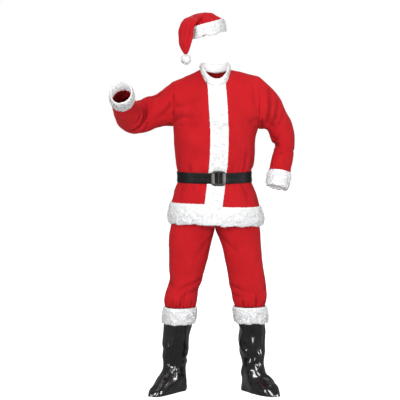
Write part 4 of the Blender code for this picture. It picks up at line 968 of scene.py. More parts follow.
def half_body(side, face, hem_rows, drop):
    """Half of the front or back, from the hem's lower edge to the neck and shoulder."""
    z = np.array((*np.linspace(HEM_LOW, HEM_HIGH, hem_rows), *PANEL_ROWS, UNDERARM))[:, None]
    column = np.arange(FRONT_COLUMNS * STEPS + 1)[None] / STEPS
    body = body_row(side, face, z, column)
    if drop:
        share = np.clip((BELT_LOW - z) / (BELT_LOW - HEM_HIGH), 0, 1)
        share = share - HEM_EVENED * np.clip((HEM_HIGH - z) / (HEM_HIGH - HEM_LOW), 0, 1)
        body = body_row(side, face, z - share * hem_drop(side, face, body[..., 0]), column)
        body[-1, :, 2] += (ARMHOLE[side][3] - UNDERARM) * column[0] / FRONT_COLUMNS
    return smooth_rows(np.concatenate((body[:-1], upper_rows(side, face, body[-1]))))


def joined(right, left):
    """Two halves as one grid, from the right side seam to the left."""
    return np.concatenate((right[:, :0:-1], left), axis=1)


def sleeve_surface(side, front, back):
    """The armhole's edge, then the table's rings: centre + long * cos(a) + deep * sin(a)."""
    first = np.concatenate((front[::-1], back[1:-1]))
    rings = SLEEVE[side]
    centres = np.concatenate((first.mean(axis=0)[None], rings[:, :3]))
    along = unit(np.gradient(centres, axis=0))[1:]
    tilt = np.radians(rings[:, 3])
    long = np.stack((np.cos(tilt), 0 * tilt, np.sin(tilt)), -1)
    deep = (unit(np.cross(along, long)) * side)[:, None]
    turn = circle(len(first))[None, :, None]
    rings, long = rings[:, None], long[:, None]
    rings = rings[..., :3] + long * np.cos(turn) * rings[..., 4:5] + deep * np.sin(turn) * rings[..., 5:6]
    return smooth_rows(np.concatenate((first[None], rings)))


def leg_surface(side, face):
    """One trouser panel from the waist to the plush: hips, crotch and leg rows.

    Each row is x = middle + half * sin(a) and y = depth * cos(a), for a from the inner edge to the
    side seam. Above the crotch the inner edge stays on the middle plane while it turns under.
    """
    rows = []
    for side_z, middle_z, right, left, front, back, under in HIPS:
        start = -math.radians(under)
        half = (right if side == RIGHT else left) / (1 - math.sin(start))
        depth = front if face == "front" else back
        rows.append((side_z, middle_z, half * -math.sin(start), half, depth, start))
    for number, (z, outer, inner, front, back) in enumerate(LEG[side]):
        depth = front if face == "front" else back
        middle_z = z if number else CROTCH_Z
        rows.append((z, middle_z, (outer + inner) / 2, (outer - inner) / 2, depth, -math.pi / 2))
    side_z, middle_z, middle, half, depth, start = (column[:, None] for column in np.array(rows).T)
    share = np.linspace(0, 1, LEG_COLUMNS * STEPS + 1)[None]
    turn = start + (math.pi / 2 - start) * share
    x = np.maximum(middle + half * np.sin(turn), 0)
    y = depth * np.abs(np.cos(turn)) ** SQUARE * (-1 if face == "front" else 1)
    return smooth_rows(np.stack((side * x, y, middle_z + (side_z - middle_z) * share), -1))


def boot_surface(side, half):
    """Half a boot cover, toe to heel round its inner or outer side, in the turned frame of the foot.

    Forwards it is front * cos(a) ** power, or back * cos(a), and sideways half width * sin(a).
    """
    z, x, y, back, front, width, power = (column[:, None] for column in BOOT[side].T)
    turn = np.linspace(0, math.pi, BOOT_COLUMNS * STEPS + 1)[None]
    ahead = front * np.clip(np.cos(turn), 0, 1) ** power
    forwards = np.where(turn < math.pi / 2, ahead, back * np.cos(turn))
    sideways = width * np.sin(turn) ** SQUARE * (side if half == "outer" else -side)
    sine, cosine = math.sin(FOOT_TURN[side]), math.cos(FOOT_TURN[side])
    x, y = x + sine * forwards + cosine * sideways, y - cosine * forwards + sine * sideways
    return smooth_rows(np.stack((x, y, z + 0 * turn), -1))


def hat_ring(height, columns):
    """An oval across the hat, square to its leaning axis."""
    turn = circle(columns)[:, None]
    across = np.array((math.cos(HAT_LEAN), 0, math.sin(HAT_LEAN)))
    up = np.array((-math.sin(HAT_LEAN), 0, math.cos(HAT_LEAN)))
    x, y = HAT_HALF[0] * np.cos(turn), HAT_HALF[1] * np.sin(turn)
    return HAT_CENTRE + across * x - np.array((0, 1, 0)) * y + up * height


def crown_surface():
    """The whole crown: an oval on the band, then the table's rings, tipping over the fold.

    A ring is centre + thick * cos(a) + wide * sin(a). `thick` starts level, stands up on the fold
    and points out from the head in the tail; `wide` stays level.
    """
    base = hat_ring(HAT_BAND_HIGH / 2 + SEAM_GAP / 2, HAT_COLUMNS * STEPS)
    half_thick, tip, half_wide, heading = (column[:, None] for column in CROWN.T[3:])
    tip, heading = np.radians(tip), np.radians(heading)
    level = np.concatenate((np.cos(heading), np.sin(heading), 0 * heading), axis=1)
    thick = half_thick * (np.sin(tip) * np.array((0, 0, 1)) - np.cos(tip) * level)
    wide = half_wide * np.concatenate((-np.sin(heading), np.cos(heading), 0 * heading), axis=1)
    centres = CROWN[:, None, :3]
    turn = circle(HAT_COLUMNS * STEPS)[None, :, None]
    rings = centres + thick[:, None] * np.cos(turn) + wide[:, None] * np.sin(turn)
    tip = TAIL_TIP + (rings[-1:] - centres[-1]) * TAIL_CLOSED
    return smooth_rows(np.concatenate((base[None], rings, tip)))


def near_belt(grid):
    """1 under the belt, fading to 0 beside it."""
    z = grid[..., 2]
    return fading(np.clip(np.maximum(BELT_LOW - z, z - BELT_HIGH), 0, None), BELT_FADE)


def jacket_surfaces():
    """The four halves of the jacket, and the grid and wall directions of each node made from them."""
    halves = {(side, face): half_body(side, face, TRIM_ROWS, True) for side, _ in SIDES for face in FACES}
    hem = TRIM_LINES - 1
    back = joined(halves[RIGHT, "back"], halves[LEFT, "back"])
    grids = {"jacket_back": back[hem:], "hem_trim_back": back[: hem + 1]}
    band = BAND_COLUMNS * STEPS
    edge = -ARM_ROWS * STEPS - 1
    for side, word in SIDES:
        front = halves[side, "front"]
        grids[f"jacket_front_{word}"] = front[hem:]
        grids[f"hem_trim_front_{word}"] = front[: hem + 1, band:]
        sleeve = sleeve_surface(side, front[edge:, -1], halves[side, "back"][edge:, -1])
        grids[f"jacket_sleeve_{word}"] = sleeve[: CUFF_ROW * STEPS + 1]
        grids[f"cuff_trim_{word}"] = sleeve[CUFF_ROW * STEPS :]
        grids[f"unseen_{word}"] = front[: hem + 1, : band + 1]
    rings = [name.startswith(("jacket_sleeve", "cuff")) for name in grids]
    return halves, grids, dict(zip(grids, sewn_normals(list(grids.values()), rings)))


# ---------------------------------------------------------------- materials


class Nodes:
    """A material's node tree, with short calls for the few nodes that the finishes use."""

    OUTPUTS = {"TEX_NOISE": "Fac", "ATTRIBUTE": "Fac", "TEX_VORONOI": "Distance", "BUMP": "Normal"}

    def __init__(self, name, **inputs):
        """An emptied material with a principled shader, whose sockets take the values given."""
        self.material = bpy.data.materials.get(name) or bpy.data.materials.new(name)
        self.material.use_nodes = True
        self.tree = self.material.node_tree
        self.tree.nodes.clear()
        self.shader = self.add("BsdfPrincipled", **inputs)
        self.link(self.shader, self.add("OutputMaterial").inputs["Surface"], "BSDF")
        self.place = self.add("TexCoord")

    def add(self, kind, **inputs):
        """A new node, with the values given on its sockets."""
        node = self.tree.nodes.new("ShaderNode" + kind)
        for title, value in inputs.items():
            node.inputs[title.replace("_", " ")].default_value = value
        return node

    def link(self, start, socket, output=None):
        """Joins a node's output, the one that its kind is used for if none is named, to a socket."""
        self.tree.links.new(start.outputs[output or self.OUTPUTS.get(start.type, "Result")], socket)

    def noise(self, scale, detail=2.0, rough=0.5, stretch=None):
        """A noise on Object coordinates, stretched along an axis if asked."""
        node = self.add("TexNoise", Scale=scale, Detail=detail, Roughness=rough)
        if not stretch:
            self.link(self.place, node.inputs["Vector"], "Object")
            return node
        mapping = self.add("Mapping", Scale=stretch)
        self.link(self.place, mapping.inputs["Vector"], "Object")
        self.link(mapping, node.inputs["Vector"], "Vector")
        return node

    def attribute(self, title):
        """A value that the mesh's points carry."""
        node = self.add("Attribute")
        node.attribute_name = title
        return node

    def spread(self, source, low, high, start=0.3, end=0.7):
        """The source's value moved from start..end to low..high."""
        node = self.add("MapRange", From_Min=start, From_Max=end, To_Min=low, To_Max=high)
        self.link(source, node.inputs["Value"])
        return node

    def mix(self, factor, first, second):
        """A colour mix. Each side is a colour or a node."""
        node = self.add("Mix")
        node.data_type = "RGBA"
        self.link(factor, node.inputs[0])
        for socket, side in ((6, first), (7, second)):
            if hasattr(side, "outputs"):
                self.link(side, node.inputs[socket])
            else:
                node.inputs[socket].default_value = (*side, 1.0)
        return node

    def finish(self, colour, heights, roughness=None):
        """Links the colour, any roughness, and bumps laid over one another: noise, strength, depth."""
        self.link(colour, self.shader.inputs["Base Color"])
        if roughness:
            self.link(roughness, self.shader.inputs["Roughness"])
        last = None
        for source, strength, depth in heights:
            node = self.add("Bump", Strength=strength, Distance=depth)
            self.link(source, node.inputs["Height"])
            if last:
                self.link(last, node.inputs["Normal"])
            last = node
        self.link(last, self.shader.inputs["Normal"])


def velour(colours):
    """Brushed velour: a short nap that lies in patches, painted shade that darkens the creases, and a soft
    sheen.
    """
    sheen = {"Sheen_Weight": 0.06, "Sheen_Roughness": 0.45, "Sheen_Tint": (1.0, 0.25, 0.25, 1.0)}
    nodes = Nodes("red_cloth", Roughness=0.86, Specular_IOR_Level=0.1, **sheen)
    patches = nodes.spread(nodes.noise(9.0, 4.0, 0.62), 0.0, 1.0, 0.34, 0.66)
    nap = nodes.spread(nodes.noise(420.0, 3.0, 0.6, (1.0, 1.0, 0.35)), 0.0, 0.55)
    brushed = nodes.mix(patches, colours.cloth, colours.cloth_brushed)
    napped = nodes.mix(nap, brushed, colours.cloth_brushed)
    # painted shade: the creases are mixed towards a dark red
    crease_shade = nodes.spread(nodes.attribute("crease_shade"), 0.0, 0.6, 0.2, 1.0)
    crease_shaded = nodes.mix(crease_shade, napped, colours.cloth_crease_shade)
    soft, fine = nodes.noise(60.0, 4.0, 0.55), nodes.noise(900.0, 3.0)
    nodes.finish(crease_shaded, [(soft, 0.30, 0.0020), (fine, 0.25, 0.0005)])


def plush_finish(colours):
    """White plush: painted shade that greys the pile towards its roots, white at the tips, with faint clouds
    of painted shade.
    """
    sheen = {"Sheen_Weight": 0.12, "Sheen_Roughness": 0.6}
    nodes = Nodes("white_plush", Roughness=0.95, Specular_IOR_Level=0.15, **sheen)
    # painted shade: the pile greys towards its roots, in place of the strands' shade on one another
    tip = nodes.spread(nodes.attribute("tip"), 0.0, 1.0, 0.0, 0.75)
    pile = nodes.mix(tip, colours.plush_root_shade, colours.plush)
    # painted shade: faint clouds mixed towards the grey of the roots
    clouds = nodes.spread(nodes.noise(38.0, 4.0, 0.6), 0.0, 0.28, 0.35, 0.7)
    clouded = nodes.mix(clouds, pile, colours.plush_root_shade)
    nodes.finish(clouded, [(nodes.noise(520.0, 3.0, 0.6), 0.35, 0.0010)])


def belt_finish(colours):
    """Imitation leather: a fine pebbled grain, rubbed duller in patches."""
    nodes = Nodes("black_belt", Specular_IOR_Level=0.10)
    rubbed = nodes.spread(nodes.noise(26.0, 4.0, 0.6), 0.34, 0.56)
    colour = nodes.mix(nodes.spread(nodes.noise(14.0, 3.0), 0.0, 1.0), colours.belt, colours.belt_rubbed)
    grain = nodes.add("TexVoronoi", Scale=720.0)
    nodes.link(nodes.place, grain.inputs["Vector"], "Object")
    nodes.finish(colour, [(grain, 0.35, 0.0004), (nodes.noise(90.0, 4.0), 0.20, 0.0010)], rubbed)


def vinyl_finish(colours):
    """Thin glossy vinyl: soft dents that break up its reflections, and dust-dull patches."""
    nodes = Nodes("black_vinyl", Coat_Weight=0.6, Coat_Roughness=0.07)
    dull = nodes.spread(nodes.noise(18.0, 5.0, 0.65), 0.10, 0.30)
    tone = nodes.spread(nodes.noise(40.0, 4.0, 0.6), 0.0, 1.0)
    colour = nodes.mix(tone, colours.vinyl, colours.vinyl_dusty)
    dents, wrinkles = nodes.noise(16.0, 2.0, 0.4), nodes.noise(60.0, 3.0, 0.5, (1.0, 1.0, 1.7))
    nodes.finish(colour, [(dents, 0.03, 0.0060), (wrinkles, 0.015, 0.0012)], dull)


def pewter_finish(colours):
    """Cast pewter: painted shade in the recesses, darker on the frame's top and bottom and on the bar, with a
    brushed, slightly pitted face.
    """
    nodes = Nodes("pewter", Metallic=1.0)
    rough = nodes.spread(nodes.noise(170.0, 3.0, 0.6), 0.28, 0.52)
    worn = nodes.spread(nodes.noise(60.0, 5.0, 0.7), 0.0, 0.7)
    face = nodes.mix(worn, colours.pewter, colours.pewter_worn)
    # painted shade in the recesses; the frame's top and bottom and the bar are made darker
    recess_shade_and_dark_bars = nodes.mix(nodes.attribute("recess_shade_and_dark_bars"), face, colours.pewter_shade_and_dark)
    nodes.finish(recess_shade_and_dark_bars, [(nodes.noise(600.0, 4.0, 0.7), 0.25, 0.0004)], rough)


# ---------------------------------------------------------------- settings


def setting(name, description, value, kind=FloatProperty, **limits):
    """One property of a group, from its name, what it says about itself, and its default."""
    return kind(name=name, description=description, default=value, **limits)


def colour_of(*words):
    """A setting that is a colour."""
    return setting(*words, kind=FloatVectorProperty, subtype="COLOR", size=3, min=0, max=1)


def length_of(*words):
    """A setting that is a length, of 0.1 mm or more."""
    return setting(*words, unit="LENGTH", min=0.0001, precision=4)


class SuitColours(PropertyGroup):
    """What every finish is mixed from."""

    cloth: colour_of("Cloth", "Velour whose nap lies towards the light", (0.440, 0.0085, 0.0128))
    cloth_brushed: colour_of("Cloth, brushed", "Velour whose nap lies away from it", (0.360, 0.0055, 0.0092))
    # painted shade: the dark red that the creases are mixed towards
    cloth_crease_shade: colour_of("Cloth, creased", "Velour deep in a fold", (0.150, 0.0018, 0.0045))
    plush: colour_of("Plush", "The tips of the pile", (0.90, 0.90, 0.905))
    # painted shade: the grey of the pile at its roots
    plush_root_shade: colour_of("Plush, roots", "The pile where it meets its backing", (0.81, 0.82, 0.835))
    belt: colour_of("Belt", "The strap", (0.0040, 0.0042, 0.0044))
    belt_rubbed: colour_of("Belt, rubbed", "The strap where it is rubbed", (0.0075, 0.0080, 0.0082))
    vinyl: colour_of("Vinyl", "The boot covers", (0.0035, 0.0035, 0.0040))
    vinyl_dusty: colour_of("Vinyl, dusty", "The boot covers where dust has settled", (0.0070, 0.0070, 0.0080))
    pewter: colour_of("Pewter", "The buckle", (0.135, 0.122, 0.115))
    pewter_worn: colour_of("Pewter, worn", "The buckle where it is handled", (0.085, 0.074, 0.066))
    # painted shade for the recesses, and the darker tone of the frame's top and bottom and the bar
    pewter_shade_and_dark: colour_of("Pewter, dark", "The buckle's recesses and its bar", (0.022, 0.022, 0.023))


class SuitCloth(PropertyGroup):
    """The red cloth."""

    thickness: length_of("Thickness", "Wall of the red cloth", CLOTH)
    fold_depth: setting("Fold depth", "Every fold's depth times this", 0.8, min=0, max=2)
    ripple_height: length_of("Ripple height", "How far the cloth wanders between its folds", 0.0011)
    ripple_length: length_of("Ripple length", "From one ripple to the next", 0.105)


class SuitPlush(PropertyGroup):
    """The white pile."""

    backing: setting("Backing", "Share of the reach that is backing", 0.5, min=0, max=1)
    spacing: length_of("Spacing", "From one strand to the next", 0.0017)
    strand: length_of("Strand", "Width of a strand at its root", 0.0024)
    stand_proud: length_of("Stand proud", "How far the tips pass the plain solid", 0.0035)
    tuft: length_of("Tuft", "From one tuft to the next", 0.0160)
    tuft_height: length_of("Tuft height", "How far the tufts stand up", 0.0022)
    puff: length_of("Puff", "How far the plush swells and sinks along a strip", 0.0011)
    edge_wave: length_of("Edge wave", "How far a free edge wanders", 0.0030)
    lean: setting("Lean", "How far a tuft leans", 0.5, min=0, max=2)
    stray: setting("Stray", "How far one strand leaves its tuft", 0.27, min=0, max=2)
    droop: setting("Droop", "How far the pile lies down along its nap", 0.85, min=0, max=2)


class SuitStage(PropertyGroup):
    """Camera, floor and lights."""

    distance: length_of("Distance", "From the camera to the suit", 9.0)
    view_width: length_of("View width", "What the camera takes in at the suit", 1.915)
    camera_height: setting("Camera height", "Above the neck", 0.221, unit="LENGTH")
    aim_x: setting("Aim across", "Where the view is centred", -0.072, unit="LENGTH")
    aim_z: setting("Aim up", "Where the view is centred", -0.614, unit="LENGTH")
    sky: setting("Sky", "Strength of the even light", 0.74, min=0, max=5)
    key: setting("Key", "Power of the front lamp, in watts", 148.0, min=0)


class SuitSettings(PropertyGroup):
    """All of the suit's settings, on the scene."""

    colours: PointerProperty(type=SuitColours)
    cloth: PointerProperty(type=SuitCloth)
    plush: PointerProperty(type=SuitPlush)
    stage: PointerProperty(type=SuitStage)


# ---------------------------------------------------------------- operators


class SUIT_OT_finishes(Operator):
    """Mix the five finishes of the suit"""

    bl_idname = "suit.finishes"
    bl_label = "Finishes"

    def execute(self, context):
        for finish in (velour, plush_finish, belt_finish, vinyl_finish, pewter_finish):
            finish(context.scene.santa_suit.colours)
        return {"FINISHED"}


class SUIT_OT_jacket(Operator):
    """Sew the jacket: two fronts, a back, two sleeves and their plush hem and cuffs"""

    bl_idname = "suit.jacket"
    bl_label = "Jacket"

    def execute(self, context):
        halves, grids, normals = jacket_surfaces()
        for number, (name, grid) in enumerate(grids.items()):
            if name.startswith("jacket_sleeve"):
                angle = circle(grid.shape[1])[None]
                cloth_piece(name, grid, normals[name], angle, 40 + number, ring=True)
            elif name.startswith("jacket"):
                # The angle round the body, for puckers that carry on across a seam.
                angle = np.arctan2(grid[..., 1] * BODY_ROUND, grid[..., 0])
                cloth_piece(name, grid, normals[name], angle, 41, hold=near_belt(grid))
            elif not name.startswith("unseen"):
                ring = name.startswith("cuff")
                plush_piece(name, grid, normals[name], plush(grid), 60 + number, ring, free=-1 if ring else 0)
        self.neckband(halves)
        return {"FINISHED"}

    def neckband(self, halves):
        """A low plush neckband that stands on the neck edge and leans in a little."""
        neck = NECK_COLUMNS * STEPS + 1
        front_right, back_right, front_left, back_left = (half[-1, :neck] for half in halves.values())
        loop = np.concatenate((front_right[:-1], back_right[:0:-1], back_left[:-1], front_left[:0:-1]))
        centre = loop.mean(axis=0)
        share = np.linspace(0, 1, TRIM_LINES)[:, None, None]
        grid = centre + (loop - centre) * (1 - COLLAR_LEAN * share)
        softened = sum(np.roll(loop[:, 2], shift) for shift in range(-COLLAR_SOFT, COLLAR_SOFT + 1))
        drop = (loop[:, 2] - softened / (2 * COLLAR_SOFT + 1)) * share[..., 0] ** 1.5
        grid[..., 2] = (loop[:, 2] + SEAM_GAP + CLOTH + LAY_GAP) + share[..., 0] * COLLAR_HIGH - drop
        plush_piece("collar_trim", grid, lone_normals(grid), plush(grid) - COLLAR_THINNER, 80)


class SUIT_OT_front_band(Operator):
    """Lay the plush band down the join of the fronts"""

    bl_idname = "suit.front_band"
    bl_label = "Front band"

    def execute(self, context):
        columns = BAND_COLUMNS * STEPS + 1
        halves = (half_body(side, "front", TRIM_ROWS - 1, False) for side, _ in SIDES)
        grid = joined(*(half[:, :columns] for half in halves))
        z = grid[..., 2]
        pressed = np.clip(np.minimum(z - BELT_LOW, BELT_HIGH - z) / BAND_PRESS + 1, 0, 1)
        reach = BAND_PLUSH + (BAND_UNDER_BELT - BAND_PLUSH) * pressed
        reach = reach * (1 - (1 - BAND_EDGE) * np.linspace(-1, 1, grid.shape[1]) ** 6)
        normals = lone_normals(grid, ring=False)
        plush_piece("front_band", grid, normals, reach, 81, ring=False, lift=CLOTH + LAY_GAP)
        return {"FINISHED"}


class SUIT_OT_belt(Operator):
    """Buckle the belt over the jacket"""

    bl_idname = "suit.belt"
    bl_label = "Belt"

    def execute(self, context):
        z = np.linspace(BELT_LOW, BELT_HIGH, BELT_ROWS)[:, None]
        column = np.arange(FRONT_COLUMNS * STEPS + 1)[None] / STEPS
        front, back = (joined(*(body_row(side, face, z, column) for side, _ in SIDES)) for face in FACES)
        grid = np.concatenate((front, back[:, -2:0:-1]), axis=1)
        normals = lone_normals(grid)
        off_band = np.abs(grid[..., 0] - centre_x((BELT_LOW + BELT_HIGH) / 2)) - BAND_HALF
        near = np.where(grid[..., 1] < 0, np.clip(1 - (off_band - BELT_NEAR) / BELT_SLOPE, 0, 1), 0)
        near = near * near * (3 - 2 * near)
        lift = (CLOTH + LAY_GAP + (LAY_GAP + BAND_UNDER_BELT) * near)[..., None]
        rolled = BELT_WALL * (1 - (1 - BELT_EDGE) * np.linspace(-1, 1, BELT_ROWS)[:, None, None] ** 8)
        strap = wall("belt_strap_leather", grid + normals * lift, grid + normals * (lift + rolled), True)
        hand_over(strap, "black_belt", "belt_strap")
        self.buckle()
        return {"FINISHED"}

    def buckle(self):
        """A domed frame and the bar down its middle, each a closed section carried along a path.

        The frame's path is halfway between its outline and its window, both rectangles with rounded
        corners. A section is cos(a) across and sin(a) towards the front, each to a power that
        squares it.
        """
        low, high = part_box("buckle")
        middle = np.array(((low.x + high.x) / 2, high.y, (low.z + high.z) / 2))
        half_x, half_z, thick = (high.x - low.x) / 2, (high.z - low.z) / 2, high.y - low.y
        outline = rounded_outline(half_x, half_z, BUCKLE_CORNER)
        window = rounded_outline(*BUCKLE_WINDOW, WINDOW_CORNER)
        turn = circle(24)
        across = np.sign(np.cos(turn)) * np.abs(np.cos(turn)) ** BUCKLE_ACROSS
        height = np.sign(np.sin(turn)) * np.abs(np.sin(turn)) ** BUCKLE_UP
        path, reach = (outline + window) / 2, (outline - window) / 2
        flat = path[:, None] + reach[:, None] * across[None, :, None]
        depth = thick / 2 * (1 + height * (1 + BUCKLE_DOME * across**2)) + 0 * flat[..., 0]
        rim = np.stack((flat[..., 0], -depth, flat[..., 1]), -1)
        rim_faces = quads_of(len(path) + 1, len(turn), True)[1] % (len(path) * len(turn))
        along = np.linspace(-1, 1, 15)[:, None] * (BUCKLE_WINDOW[1] + BAR_PAST) + 0 * turn
        bar_depth = -thick * BAR_THICK / 2 * (1 + height) + 0 * along
        bar = np.stack((BUCKLE_BAR * across + 0 * along, bar_depth, along), -1)
        bar_faces = quads_of(*along.shape, True, depth.size)[1]
        # painted shade on the flanks of the frame's section; its top and bottom and the bar are made darker
        ends = np.clip((np.abs(path[:, 1]) / half_z - 0.55) / 0.2, 0, 1)[:, None]
        edge = np.maximum(RECESS_SHADE * np.clip(1 - np.abs(height * 1.6), 0, 1)[None], ENDS_DARKER * ends)
        recess_shade_and_dark_bars = np.concatenate((edge.ravel(), np.full(along.size, BAR_DARKER)))
        points = np.concatenate((rim.reshape(-1, 3), bar.reshape(-1, 3))) + middle
        faces = np.concatenate((rim_faces, bar_faces[:, ::-1]))
        hand_over(make_mesh("buckle_pewter", points, faces, [("recess_shade_and_dark_bars", recess_shade_and_dark_bars)]), "pewter", "buckle")


class SUIT_OT_trousers(Operator):
    """Sew the trousers and the plush bands round their ends"""

    bl_idname = "suit.trousers"
    bl_label = "Trousers"

    def execute(self, context):
        grids = {(side, word, face): leg_surface(side, face) for side, word in SIDES for face in FACES}
        normals = sewn_normals(list(grids.values()), [False] * len(grids))
        for ((side, word, face), grid), normal in zip(grids.items(), normals):
            angle = np.linspace(0, math.pi, grid.shape[1])[None] * (1 if face == "front" else -1)
            hold = fading(grid[..., 0], BELT_FADE)
            cloth_piece(f"trousers_{face}_{word}", grid, normal, angle, 45 + side, hold=hold)
        for number, (side, word) in enumerate(SIDES):
            front, back = (grids[side, word, face][-1] for face in FACES)
            ring = np.concatenate((front, back[-2:0:-1]))
            middle = ring.mean(axis=0)
            reach = np.linalg.norm((ring - middle)[:, :2], axis=1, keepdims=True)
            share = np.linspace(0, 1, TRIM_LINES)[:, None, None]
            lower = share * np.array((side * LEG_TRIM_OUT, 0, -LEG_TRIM_HIGH)) - (0, 0, CLOTH + SEAM_GAP)
            grid = middle + (ring - middle) * (1 + LEG_TRIM_WIDER / reach * (1, 1, 0)) + lower
            plush_piece(f"leg_trim_{word}", grid, lone_normals(grid), plush(grid), 83 + number, free=-1)
        return {"FINISHED"}


class SUIT_OT_boots(Operator):
    """Sew the vinyl boot covers"""

    bl_idname = "suit.boots"
    bl_label = "Boot covers"

    def execute(self, context):
        for side, word in SIDES:
            grids = {half: boot_surface(side, half) for half in ("inner", "outer")}
            normals = sewn_normals(list(grids.values()), [False, False])
            for (half, grid), normal in zip(grids.items(), normals):
                node = f"boot_cover_{word}_{half}"
                press = folded(node, grid, False) + crumple(grid, 13, CRUMPLE_WAVE) * VINYL_CRUMPLE
                press += BOOT_SEAM * fading(from_edge(grid, False), SEAM_WIDE)
                inside = grid - normal * press[..., None]
                obj = wall(node + "_vinyl", inside, inside + normal * VINYL, False)
                hand_over(obj, "black_vinyl", node)
        return {"FINISHED"}


class SUIT_OT_hat(Operator):
    """Sew the hat, with its plush band and ball"""

    bl_idname = "suit.hat"
    bl_label = "Hat"

    def execute(self, context):
        crown = crown_surface()
        normals = lone_normals(crown)
        half = HAT_COLUMNS // 2
        turn = circle(HAT_COLUMNS * STEPS)[None]
        for word, first in (("front", 0), ("back", half)):
            columns = np.arange(first * STEPS, (first + half) * STEPS + 1) % crown.shape[1]
            cloth_piece(f"hat_crown_{word}", crown[:, columns], normals[:, columns], turn[:, columns], 47)
        heights = np.linspace(-0.5, 0.5, TRIM_LINES) * HAT_BAND_HIGH
        band = np.array([hat_ring(height, 2 * HAT_COLUMNS * STEPS) for height in heights])
        plush_piece("hat_band", band, lone_normals(band), plush(band), 85, free=0)
        self.pompom()
        return {"FINISHED"}

    def pompom(self):
        """A ball of yarn ends: a small core, latitude by longitude, and long strands all round."""
        rise = np.linspace(POMPOM_POLE, math.pi - POMPOM_POLE, 21)[:, None]
        turn = circle(36)[None]
        sphere = np.sin(rise)[..., None] * np.stack((np.cos(turn), np.sin(turn), 0 * turn), -1)
        sphere[..., 2] = np.cos(rise)
        radius = POMPOM_RADIUS * (POMPOM_CORE + POMPOM_ROUGH * ripple(sphere, 22, 1.1))
        surface = POMPOM_CENTRE + sphere * radius[..., None]
        points = np.concatenate((surface.reshape(-1, 3), surface[[0, -1]].mean(axis=1)))
        index, quads = quads_of(*surface.shape[:2], True)
        poles = len(points) - 2 + 0 * index[0, :-1]
        cap = np.stack((index[0, :-1], index[0, 1:], poles), -1)
        base = np.stack((index[-1, 1:], index[-1, :-1], poles + 1), -1)
        faces = np.concatenate((quads[:, [0, 1, 2]], quads[:, [0, 2, 3]], cap, base))
        core = make_mesh("hat_pompom_core", points, faces, [("tip", np.full(len(points), 0.8))])
        hand_over(core, "white_plush", "hat_pompom")
        length = np.full(radius.shape, POMPOM_YARN)
        strands("hat_pompom_pile", surface, True, length, 86, POMPOM_CROWD)


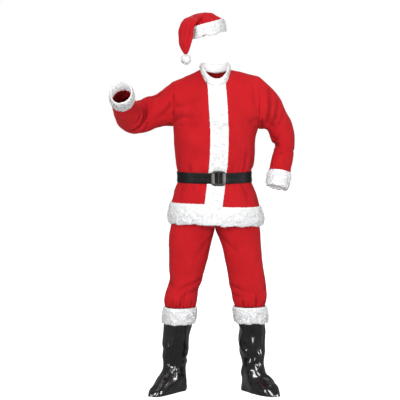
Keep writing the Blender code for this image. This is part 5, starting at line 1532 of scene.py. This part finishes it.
class SUIT_OT_stage(Operator):
    """Set up the camera, the floor and the lights"""

    bl_idname = "suit.stage"
    bl_label = "Stage"

    def execute(self, context):
        stage = context.scene.santa_suit.stage
        aim = np.array((stage.aim_x, 0.0, stage.aim_z))
        eye = np.array((stage.aim_x, -stage.distance, stage.camera_height))
        camera = self.stand("camera", bpy.data.cameras.new("camera"), eye, aim)
        camera.data.lens = camera.data.sensor_width * np.linalg.norm(aim - eye) / stage.view_width
        context.scene.camera = camera
        context.scene.view_settings.view_transform = "Standard"
        self.floor(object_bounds()[0][2])
        self.sky(context, stage.sky)
        for name, place, width, height, share in LAMPS:
            lamp = bpy.data.lights.new(name, "AREA")
            lamp.shape, lamp.size, lamp.size_y, lamp.energy = "RECTANGLE", width, height, stage.key * share
            strip = "strip" in name
            obj = self.stand(name, lamp, np.array(place), np.array((0.0, 0.0, -1.0 if strip else -0.6)))
            obj.visible_diffuse = not strip
        return {"FINISHED"}

    def stand(self, name, data, eye, aim):
        """A camera or a lamp at `eye`, its -Z turned towards `aim`."""
        obj = bpy.data.objects.new(name, data)
        bpy.context.scene.collection.objects.link(obj)
        obj.location = eye.tolist()
        obj.rotation_mode = "QUATERNION"
        obj.rotation_quaternion = Vector((aim - eye).tolist()).to_track_quat("-Z", "Y")
        return obj

    def floor(self, z):
        """A wide pale floor, one sheet."""
        x, y = np.meshgrid(*[np.linspace(-FLOOR_HALF, FLOOR_HALF, 9)] * 2)
        obj = make_mesh("floor", np.stack((x, y, np.full_like(x, z)), -1), quads_of(9, 9, False)[1])
        if obj.data.polygons[0].normal.z < 0:
            obj.data.flip_normals()
        grey, white = (0.5, 0.5, 0.5, 1.0), (1.0, 1.0, 1.0, 1.0)
        glow = {"Emission_Color": white, "Emission_Strength": 0.83}
        nodes = Nodes("studio_floor", Roughness=0.9, Base_Color=grey, Specular_IOR_Level=0.1, **glow)
        obj.data.materials.append(nodes.material)
        obj.visible_glossy = False
        obj.visible_diffuse = False
        obj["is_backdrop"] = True

    def sky(self, context, strength):
        """Even white light, a white backdrop, and a dim room for the gloss to mirror."""
        world = bpy.data.worlds.new("studio")
        context.scene.world = world
        world.use_nodes = True
        nodes, links = world.node_tree.nodes, world.node_tree.links
        nodes.clear()
        path, output = nodes.new("ShaderNodeLightPath"), nodes.new("ShaderNodeOutputWorld")
        last = None
        for ray, share in ((None, strength), ("Is Glossy Ray", GLOSS_SKY), ("Is Camera Ray", 1.0)):
            node = nodes.new("ShaderNodeBackground")
            node.inputs["Color"].default_value = (1.0, 1.0, 1.0, 1.0)
            node.inputs["Strength"].default_value = share
            if last:
                mix = nodes.new("ShaderNodeMixShader")
                for source, socket in ((path.outputs[ray], 0), (last.outputs[0], 1), (node.outputs[0], 2)):
                    links.new(source, mix.inputs[socket])
                node = mix
            last = node
        links.new(last.outputs[0], output.inputs["Surface"])


def rounded_outline(half_x, half_z, corner, steps=8):
    """A rectangle whose corners are quarter circles, as points with `steps` on each corner."""
    arcs = []
    for number, (x, z) in enumerate(((1, 1), (-1, 1), (-1, -1), (1, -1))):
        angle = np.linspace(0, math.pi / 2, steps) + number * math.pi / 2
        centre = np.array((x * (half_x - corner), z * (half_z - corner)))
        arcs.append(centre + corner * np.stack((np.cos(angle), np.sin(angle)), -1))
    return np.concatenate(arcs)


class SUIT_PT_panel(Panel):
    """The suit's pieces and settings, in the sidebar"""

    bl_label = "Santa Suit"
    bl_idname = "SUIT_PT_panel"
    bl_space_type = "VIEW_3D"
    bl_region_type = "UI"
    bl_category = "Santa Suit"

    def draw(self, context):
        for operator in OPERATORS:
            self.layout.operator(operator.bl_idname)
        for title in ("colours", "cloth", "plush", "stage"):
            box = self.layout.box()
            box.label(text=title.capitalize())
            group = getattr(context.scene.santa_suit, title)
            for name in group.bl_rna.properties.keys():
                if name not in ("rna_type", "name"):
                    box.prop(group, name)


GROUPS = (SuitColours, SuitCloth, SuitPlush, SuitStage, SuitSettings)
OPERATORS = (
    SUIT_OT_finishes,
    SUIT_OT_jacket,
    SUIT_OT_front_band,
    SUIT_OT_belt,
    SUIT_OT_trousers,
    SUIT_OT_boots,
    SUIT_OT_hat,
    SUIT_OT_stage,
)


def register():
    for item in (*GROUPS, *OPERATORS, SUIT_PT_panel):
        bpy.utils.register_class(item)
    bpy.types.Scene.santa_suit = PointerProperty(type=SuitSettings)


def unregister():
    del bpy.types.Scene.santa_suit
    for item in (SUIT_PT_panel, *OPERATORS[::-1], *GROUPS[::-1]):
        bpy.utils.unregister_class(item)


def main():
    """Makes the suit by its operators, in order."""
    register()
    for operator in OPERATORS:
        group, name = operator.bl_idname.split(".")
        getattr(getattr(bpy.ops, group), name)()


if __name__ == "__main__":
    main()
